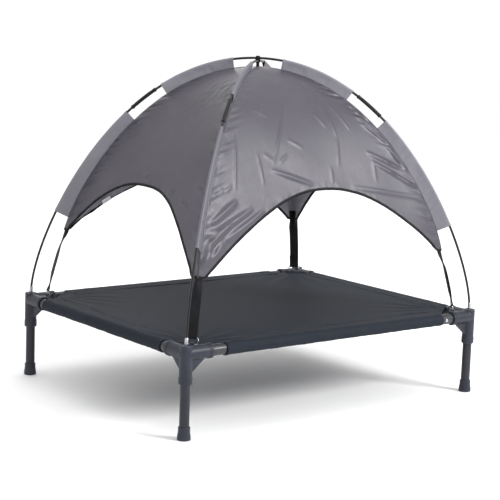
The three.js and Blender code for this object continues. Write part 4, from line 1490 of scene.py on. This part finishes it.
def connector_body():
    """The moulding at a corner, made for a leg at the origin with its rails along +X and +Y."""
    reach, axis = SOCKET_REACH, RAIL_AXIS
    bottom, top = BARREL_BOTTOM, BED_TOP
    edge = 0.0015
    barrel = solid_of(
        (BARREL_RADIUS, bottom),
        (BARREL_RADIUS, top - edge),
        *arc_profile(BARREL_RADIUS - edge, top - edge, edge, 0, 90),
    )
    collar = solid_of(
        (COLLAR_RADIUS - 0.0018, bottom),
        (COLLAR_RADIUS, bottom + 0.002),
        (COLLAR_RADIUS, bottom + 0.0135),
        (BARREL_RADIUS - 0.0005, bottom + COLLAR_HEIGHT),
    )
    parts = [barrel, collar]
    for along in ("x", "y"):
        arm = ((SOCKET_RADIUS, 0.0), (SOCKET_RADIUS, reach - 0.003))
        parts.append(solid_of(*arm, axis=along, height=axis))
    slant = [(WEB_REACH, WEB_CORNER), (WEB_CORNER, WEB_REACH)]
    web = [(0, 0), (WEB_REACH, 0), *slant, (0, WEB_REACH)]
    parts.append(prism(web, WEB_TOP - WEB_DEPTH, WEB_TOP))
    inside = WEB_CORNER - LIP_WIDTH
    lip = [(WEB_REACH, inside), *slant, (inside, WEB_REACH)]
    parts.append(prism(lip, WEB_TOP - 0.004, WEB_TOP + 0.0042))
    under = axis - SOCKET_RADIUS
    gusset = [
        (0, under - GUSSET_DROP),
        (BARREL_RADIUS, under - GUSSET_DROP),
        (GUSSET_REACH, under + 0.001),
        (GUSSET_REACH, axis - 0.006),
        (0, axis - 0.006),
    ]
    for plane in ("xz", "yz"):
        parts.append(prism(gusset, -GUSSET_HALF, GUSSET_HALF, plane))
    moulding = joined("moulding", parts)
    shape = moulding.modifiers.new("one_surface", "REMESH")
    shape.mode = "VOXEL"
    shape.voxel_size = VOXEL
    soften = moulding.modifiers.new("soften", "SMOOTH")
    soften.factor = 0.5
    soften.iterations = 5
    apply_modifiers(moulding)
    for along in ("x", "y"):
        combine(moulding, mouth_part(along), "UNION")
    combine(moulding, catch_part(), "UNION")
    for cutter in connector_bores():
        combine(moulding, cutter, "DIFFERENCE")
    return moulding


def connector_bores():
    """What is cut out of a connector: rail sockets, leg socket, pole hole and the dish round it."""
    reach, bottom, top = SOCKET_REACH, BARREL_BOTTOM, BED_TOP
    rail, leg = RAIL_RADIUS + FIT_GAP, LEG_RADIUS + FIT_GAP
    socket = (
        (rail, RAIL_START - FIT_GAP),
        (rail, reach - 0.001),
        (RAIL_RADIUS + 0.0011, reach + 0.0002),
        (RAIL_RADIUS + 0.0011, reach + 0.005),
    )
    leg_socket = (
        (LEG_RADIUS + 0.001, bottom - 0.005),
        (leg, bottom + 0.001),
        (leg, LEG_TOP + FIT_GAP),
    )
    pole_hole = (
        (POLE_HOLE, top - POLE_SOCKET_DEPTH),
        (POLE_HOLE, top - 0.001),
        (POLE_HOLE_RIM, top + 0.0005),
        (POLE_HOLE_RIM, top + 0.003),
    )
    dish = ((BARREL_RADIUS - 0.0026, top - 0.0007), (BARREL_RADIUS - 0.0022, top + 0.002))
    for along in ("x", "y"):
        yield solid_of(*socket, axis=along, height=RAIL_AXIS)
    yield solid_of(*leg_socket)
    yield solid_of(*pole_hole, sides=48)
    yield solid_of(*dish, sides=48)


def mouth_part(along):
    """The thick end of a socket, with two fine grooves round it."""
    start, end, radius = SOCKET_REACH - 0.0085, SOCKET_REACH, MOUTH_RADIUS
    steps = [
        (SOCKET_RADIUS - 0.0005, start),
        (radius - 0.0004, start + 0.0012),
        (radius, start + 0.0016),
    ]
    for groove in (0.0034, 0.0056):
        for depth, beside in ((0, -0.0005), (0.0005, -0.0001), (0.0005, 0.0001), (0, 0.0005)):
            steps.append((radius - depth, start + groove + beside))
    edge = 0.0007
    steps += arc_profile(radius - edge, end - edge, edge, 0, 90)
    return solid_of(*steps, axis=along, height=RAIL_AXIS)


CATCH_WALL = 0.0026
CATCH_HALF_WIDTH = 0.004


def catch_part():
    """The hook on the web that holds the strap ring's lower bar."""
    bar_top = WEB_TOP + 0.0006 + RING_WIRE
    behind = RING_INSET - RING_WIRE / 2 - FIT_GAP
    beyond = RING_INSET + RING_WIRE / 2 + 0.001
    lip = bar_top + FIT_GAP
    wall = CATCH_WALL
    side = [
        (behind - wall, WEB_TOP - 0.001),
        (behind, WEB_TOP - 0.001),
        (behind, lip),
        (beyond, lip),
        (beyond + 0.0004, lip + 0.0006),
        (beyond, lip + wall - 0.0004),
        (beyond - 0.0008, lip + wall),
        (behind - wall + 0.0014, lip + wall),
        (behind - wall + 0.0004, lip + wall - 0.0006),
        (behind - wall, lip + wall - 0.0018),
    ]
    part = prism(side, -CATCH_HALF_WIDTH, CATCH_HALF_WIDTH, "xz")
    part.data.transform(Matrix.Rotation(DIAGONAL, 4, "Z"))
    return part


def make_connectors():
    moulding = connector_body()
    moulding.data.materials.clear()
    moulding.data.materials.append(slate_plastic)
    for corner, (side_x, side_y) in CORNERS.items():
        mesh = moulding.data.copy()
        mirror = Matrix.Diagonal((-side_x, -side_y, 1, 1))
        mesh.transform(Matrix.Translation((side_x * LEG_X, side_y * LEG_Y, 0)) @ mirror)
        if side_x * side_y < 0:
            mesh.flip_normals()
        mesh.shade_smooth()
        mesh.set_sharp_from_angle(angle=math.radians(38))
        node = f"corner_connector_{corner}"
        piece = bpy.data.objects.new(node + "_moulding", mesh)
        mesh.name = piece.name
        bpy.context.scene.collection.objects.link(piece)
        finish_piece(piece, "bed", "slate_plastic", node)
    bpy.data.objects.remove(moulding)


# ------------------------------------------------------------------ bed fabric
CLOTH_THICKNESS = 0.0009
WRAP_RADIUS = RAIL_RADIUS + 0.0014  # outer face of the cloth round a rail
HEM_INSIDE = 0.034  # rail axis to the line where a sleeve is sewn shut
CUT_DEPTH = LONG_SLEEVE_START * SHORT_SLEEVE_START / math.hypot(LONG_SLEEVE_START, SHORT_SLEEVE_START)
CUT_DROOP = 0.0045  # of the cut across each corner of the bed
BED_ROWS = 122
BED_COLUMNS = 150


def wrap_profile():
    """Outward and upward steps from the rail axis, over the rail, round it and back under to the seam."""
    round_rail = [
        (WRAP_RADIUS * math.sin(a), WRAP_RADIUS * math.cos(a))
        for a in np.radians(np.linspace(0, 185, 26)[1:])
    ]
    last = np.array(round_rail[-1])
    seam_point = np.array([-HEM_INSIDE, WRAP_RADIUS - 0.0022])
    under = []
    for t in np.linspace(0, 1, 11)[1:]:
        low = last + (seam_point - last) * t
        under.append((float(low[0]), float(low[1] - 0.0035 * math.sin(math.pi * t) * (1 - t))))
    return round_rail + under


def bed_wrinkles(x, y):
    """Height of the slack cloth: a sag, drawn lines from the corners and ripples beside the rails."""
    u, v = x / LEG_X, y / LEG_Y
    height = -BED_SAG * (1 - u * u) * (1 - v * v)
    height = height + 0.0012 * smooth_noise(x, y, 31, 0.16) * (1 - u**6) * (1 - v**6)
    for side_x in (-1, 1):
        for side_y in (-1, 1):
            dx = LEG_X - 0.040 - side_x * x
            dy = LEG_Y - 0.035 - side_y * y
            away = np.hypot(dx, dy)
            bearing = np.arctan2(dy, dx)
            rays = np.sin(bearing * 17 + side_x * 1.3 + 2.1 * side_y) * hump(away, 0.07, 0.075)
            height = height + 0.0008 * rays * fade(away, 0.015, 0.05)
    from_long, from_short = LEG_Y - np.abs(y), LEG_X - np.abs(x)
    from_cut = (from_short / LONG_SLEEVE_START + from_long / SHORT_SLEEVE_START - 1) * CUT_DEPTH
    free = (1 - np.exp(-from_long / 0.012)) * (1 - np.exp(-from_short / 0.012))
    height = height - CUT_DROOP * free * np.exp(-np.maximum(from_cut, 0) / 0.02)
    for half, place, along in ((LEG_Y, y, x), (LEG_X, x, y)):
        inside = half - np.abs(place)
        ripple = hump(inside, HEM_INSIDE, 0.016) * smooth_noise(along, place * 0.25, 37, 0.022)
        height = height + 0.0006 * ripple - 0.0004 * hump(inside, HEM_INSIDE, 0.003)
    return height


def make_bed_cloth():
    """One sheet: the bed's face, wrapped round all four rails and sewn back under itself."""
    top = RAIL_AXIS + WRAP_RADIUS
    v = np.linspace(-1, 1, BED_ROWS + 1)
    straight = 1 - SHORT_SLEEVE_START / LEG_Y
    edge_rows = np.array([straight, 1.0])
    v = np.unique(np.concatenate([v, -edge_rows, edge_rows]).round(9))
    y = v * LEG_Y
    reach = LEG_X - LONG_SLEEVE_START * fade_line(np.abs(y), LEG_Y - SHORT_SLEEVE_START, LEG_Y)
    u = np.linspace(-1, 1, BED_COLUMNS + 1)
    x = u[None] * reach[:, None]
    grid_y = np.broadcast_to(y[:, None], x.shape)
    z = top + bed_wrinkles(x, grid_y)
    face = np.stack([x, grid_y, z], -1)
    points = [face.reshape(-1, 3)]
    face_uv = np.stack([x, grid_y], -1)
    uv = [face_uv.reshape(-1, 2)]
    faces = grid_faces(*x.shape)
    number = np.arange(x.size).reshape(x.shape)
    count = x.size
    wrap = np.array(wrap_profile())
    around = lengths_along(np.vstack([[0, WRAP_RADIUS], wrap]))[1:]
    inside = np.where(np.abs(y) <= LEG_Y - SHORT_SLEEVE_START + 1e-6)[0]
    edges = [
        ((0, slice(None)), np.array([0, -1])),
        ((-1, slice(None)), np.array([0, 1])),
        ((inside, 0), np.array([-1, 0])),
        ((inside, -1), np.array([1, 0])),
    ]
    for seed, (where, way) in enumerate(edges, 1):
        line = face[where]
        along = lengths_along(line)
        from_end = np.minimum(along, along[-1] - along)
        end_roll = 0.0008 * hump(from_end, 0.004, 0.004)
        axis_line = line * [1, 1, 0] + [0, 0, RAIL_AXIS]
        outward = np.array([*way, 0])
        strip = []
        for (out, up), length in zip(wrap, around):
            loose = 0.0006 * smooth_noise(along, length, seed + 40, 0.028)
            loose = loose + 0.0004 * smooth_noise(along, length, seed + 50, 0.009)
            depth = np.clip((length - 0.001) / 0.01, 0, 1)
            grow = (1 + depth * (loose + end_roll) / WRAP_RADIUS)[:, None]
            strip.append(axis_line + grow * (outward * out + np.array([0, 0, up])))
            uv.append(face_uv[where] + way * length)
        points += strip
        size = len(wrap) * len(line)
        below = count + np.arange(size).reshape(len(wrap), -1)
        rings = np.vstack([number[where], below])
        quads = [rings[:-1, :-1], rings[:-1, 1:], rings[1:, 1:], rings[1:, :-1]]
        faces += np.stack(quads, -1).reshape(-1, 4).tolist()
        count += size
    points, uv = np.concatenate(points), np.concatenate(uv)
    cloth = mesh_object("bed_sheet", points, faces, bed_cloth, uv, sharp=70)
    sheet_faces_out(cloth, (0, 0, top - BED_SAG), (0, 0, 1))
    thicken(cloth, CLOTH_THICKNESS)
    finish_piece(cloth, "bed", "bed_mesh", "bed_fabric")
    wrap_length = float(around[-1])
    area = 4 * LEG_X * LEG_Y - 2 * LONG_SLEEVE_START * SHORT_SLEEVE_START
    area += wrap_length * (4 * (LEG_X - LONG_SLEEVE_START) + 4 * (LEG_Y - SHORT_SLEEVE_START))


# ------------------------------------------------------------------ stitching
STITCH_PITCH = 0.0036
STITCH_LENGTH = 0.0026
THREAD_RADIUS = 0.00032
STITCH_SIDES = 6
STITCH_SWELL = np.array([0.45, 0.9, 1.0, 0.9, 0.45])


def stitches(name, runs, body, look):
    """Sewn thread: one short rounded stitch after another along each run of (line, out of the cloth)."""
    sites = len(STITCH_SWELL)
    turn = np.linspace(0, 2 * math.pi, STITCH_SIDES, endpoint=False)
    points, faces = [], []
    count = 0
    for line, out in runs:
        along = lengths_along(line)
        starts = np.arange(STITCH_PITCH, along[-1] - STITCH_PITCH, STITCH_PITCH)
        places = starts[:, None] + STITCH_LENGTH * np.linspace(0, 1, sites)
        middle = np.stack([np.interp(places, along, line[:, k]) for k in range(3)], -1)
        up = np.stack([np.interp(places, along, out[:, k]) for k in range(3)], -1)
        way = unit(np.gradient(middle, axis=1))
        side = np.cross(way, up)
        arch = (STITCH_SWELL - STITCH_SWELL[0])[None, :, None] * THREAD_RADIUS
        middle = middle + up * arch
        radius = THREAD_RADIUS * STITCH_SWELL[None, :, None, None]
        ring = np.cos(turn)[:, None] * side[:, :, None] + np.sin(turn)[:, None] * up[:, :, None]
        points.append((middle[:, :, None] + radius * ring).reshape(-1, 3))
        for _ in starts:
            faces += tube_faces(sites, STITCH_SIDES, start=count)
            count += sites * STITCH_SIDES
    thread = mesh_object(name, np.concatenate(points), faces, look)
    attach(thread, body)


RIB_STITCH_INSET = 0.0055
BED_STITCH_INSETS = (HEM_INSIDE, HEM_INSIDE - 0.005)


def rib_runs():
    """A line of stitches on each side of each rib seam."""
    runs = []
    for name, panel in PANELS.items():
        for corner, start in zip(panel.corners, (0, 1)):
            s = steps_between(0.03, TIP_ARC[corner] - 0.012, 0.003)
            across = np.abs(start - RIB_STITCH_INSET / panel.width_at(s))
            line = surface_point(name, across, s)
            ahead = np.gradient(line, axis=0)
            inner = surface_point(name, across + 0.002 * np.sign(0.5 - across), s) - line
            out = unit(np.cross(ahead, inner))
            out *= np.sign((out * (line - [0, 0, BED_TOP])).sum(1))[:, None]
            runs.append((line + out * THREAD_RADIUS * 0.3, out))
    return runs


def binding_runs():
    """The line of stitches that holds each binding."""
    runs = []
    for name in PANELS:
        line, rise, out = hem_line(name, 0.01, 0.99, 260)
        runs.append((line + rise * 0.0026 + out * 0.0006, out))
    return runs


def bed_runs():
    """The stitched line that closes the bed cloth's sleeve along each rail."""
    runs = []
    top = RAIL_AXIS + WRAP_RADIUS + THREAD_RADIUS * 0.3
    for side in (-1, 1):
        for inset in BED_STITCH_INSETS:
            x = steps_between(LONG_SLEEVE_START - LEG_X, LEG_X - LONG_SLEEVE_START, 0.004)
            y = np.full(x.shape, side * (LEG_Y - inset))
            runs.append(np.stack([x, y, top + bed_wrinkles(x, y)], -1))
            y = steps_between(SHORT_SLEEVE_START - LEG_Y, LEG_Y - SHORT_SLEEVE_START, 0.004)
            x = np.full(y.shape, side * (LEG_X - inset))
            runs.append(np.stack([x, y, top + bed_wrinkles(x, y)], -1))
    return [(line, np.tile([0.0, 0.0, 1.0], (len(line), 1))) for line in runs]


# ------------------------------------------------------------------ everything
for plain in frame["nodes"].values():
    plain.data.materials.clear()
    plain.data.materials.append(elastic)

make_poles()
cover = make_cover()
for side_name in PANELS:
    make_binding(side_name)
make_sleeves()
for corner_name in CORNERS:
    make_ring(corner_name)
    make_strap(corner_name)
    make_leg(corner_name)
    make_foot(corner_name)
make_apex_tie()
make_label()
for place, side_y in (("front", -1), ("back", 1)):
    make_rail(f"long_rail_{place}", "x", LONG_RAIL_HALF, (0, side_y * LEG_Y, RAIL_AXIS))
for place, side_x in (("left", -1), ("right", 1)):
    make_rail(f"short_rail_{place}", "y", SHORT_RAIL_HALF, (side_x * LEG_X, 0, RAIL_AXIS))
make_button("snap_button_front")
make_button("snap_button_back")
make_connectors()
make_bed_cloth()
stitches("canopy_rib_stitches", rib_runs(), "canopy", grey_thread)
stitches("canopy_binding_stitches", binding_runs(), "canopy", black_thread)
stitches("bed_hem_stitches", bed_runs(), "bed", black_thread)
cover_area()

bpy.context.view_layer.update()
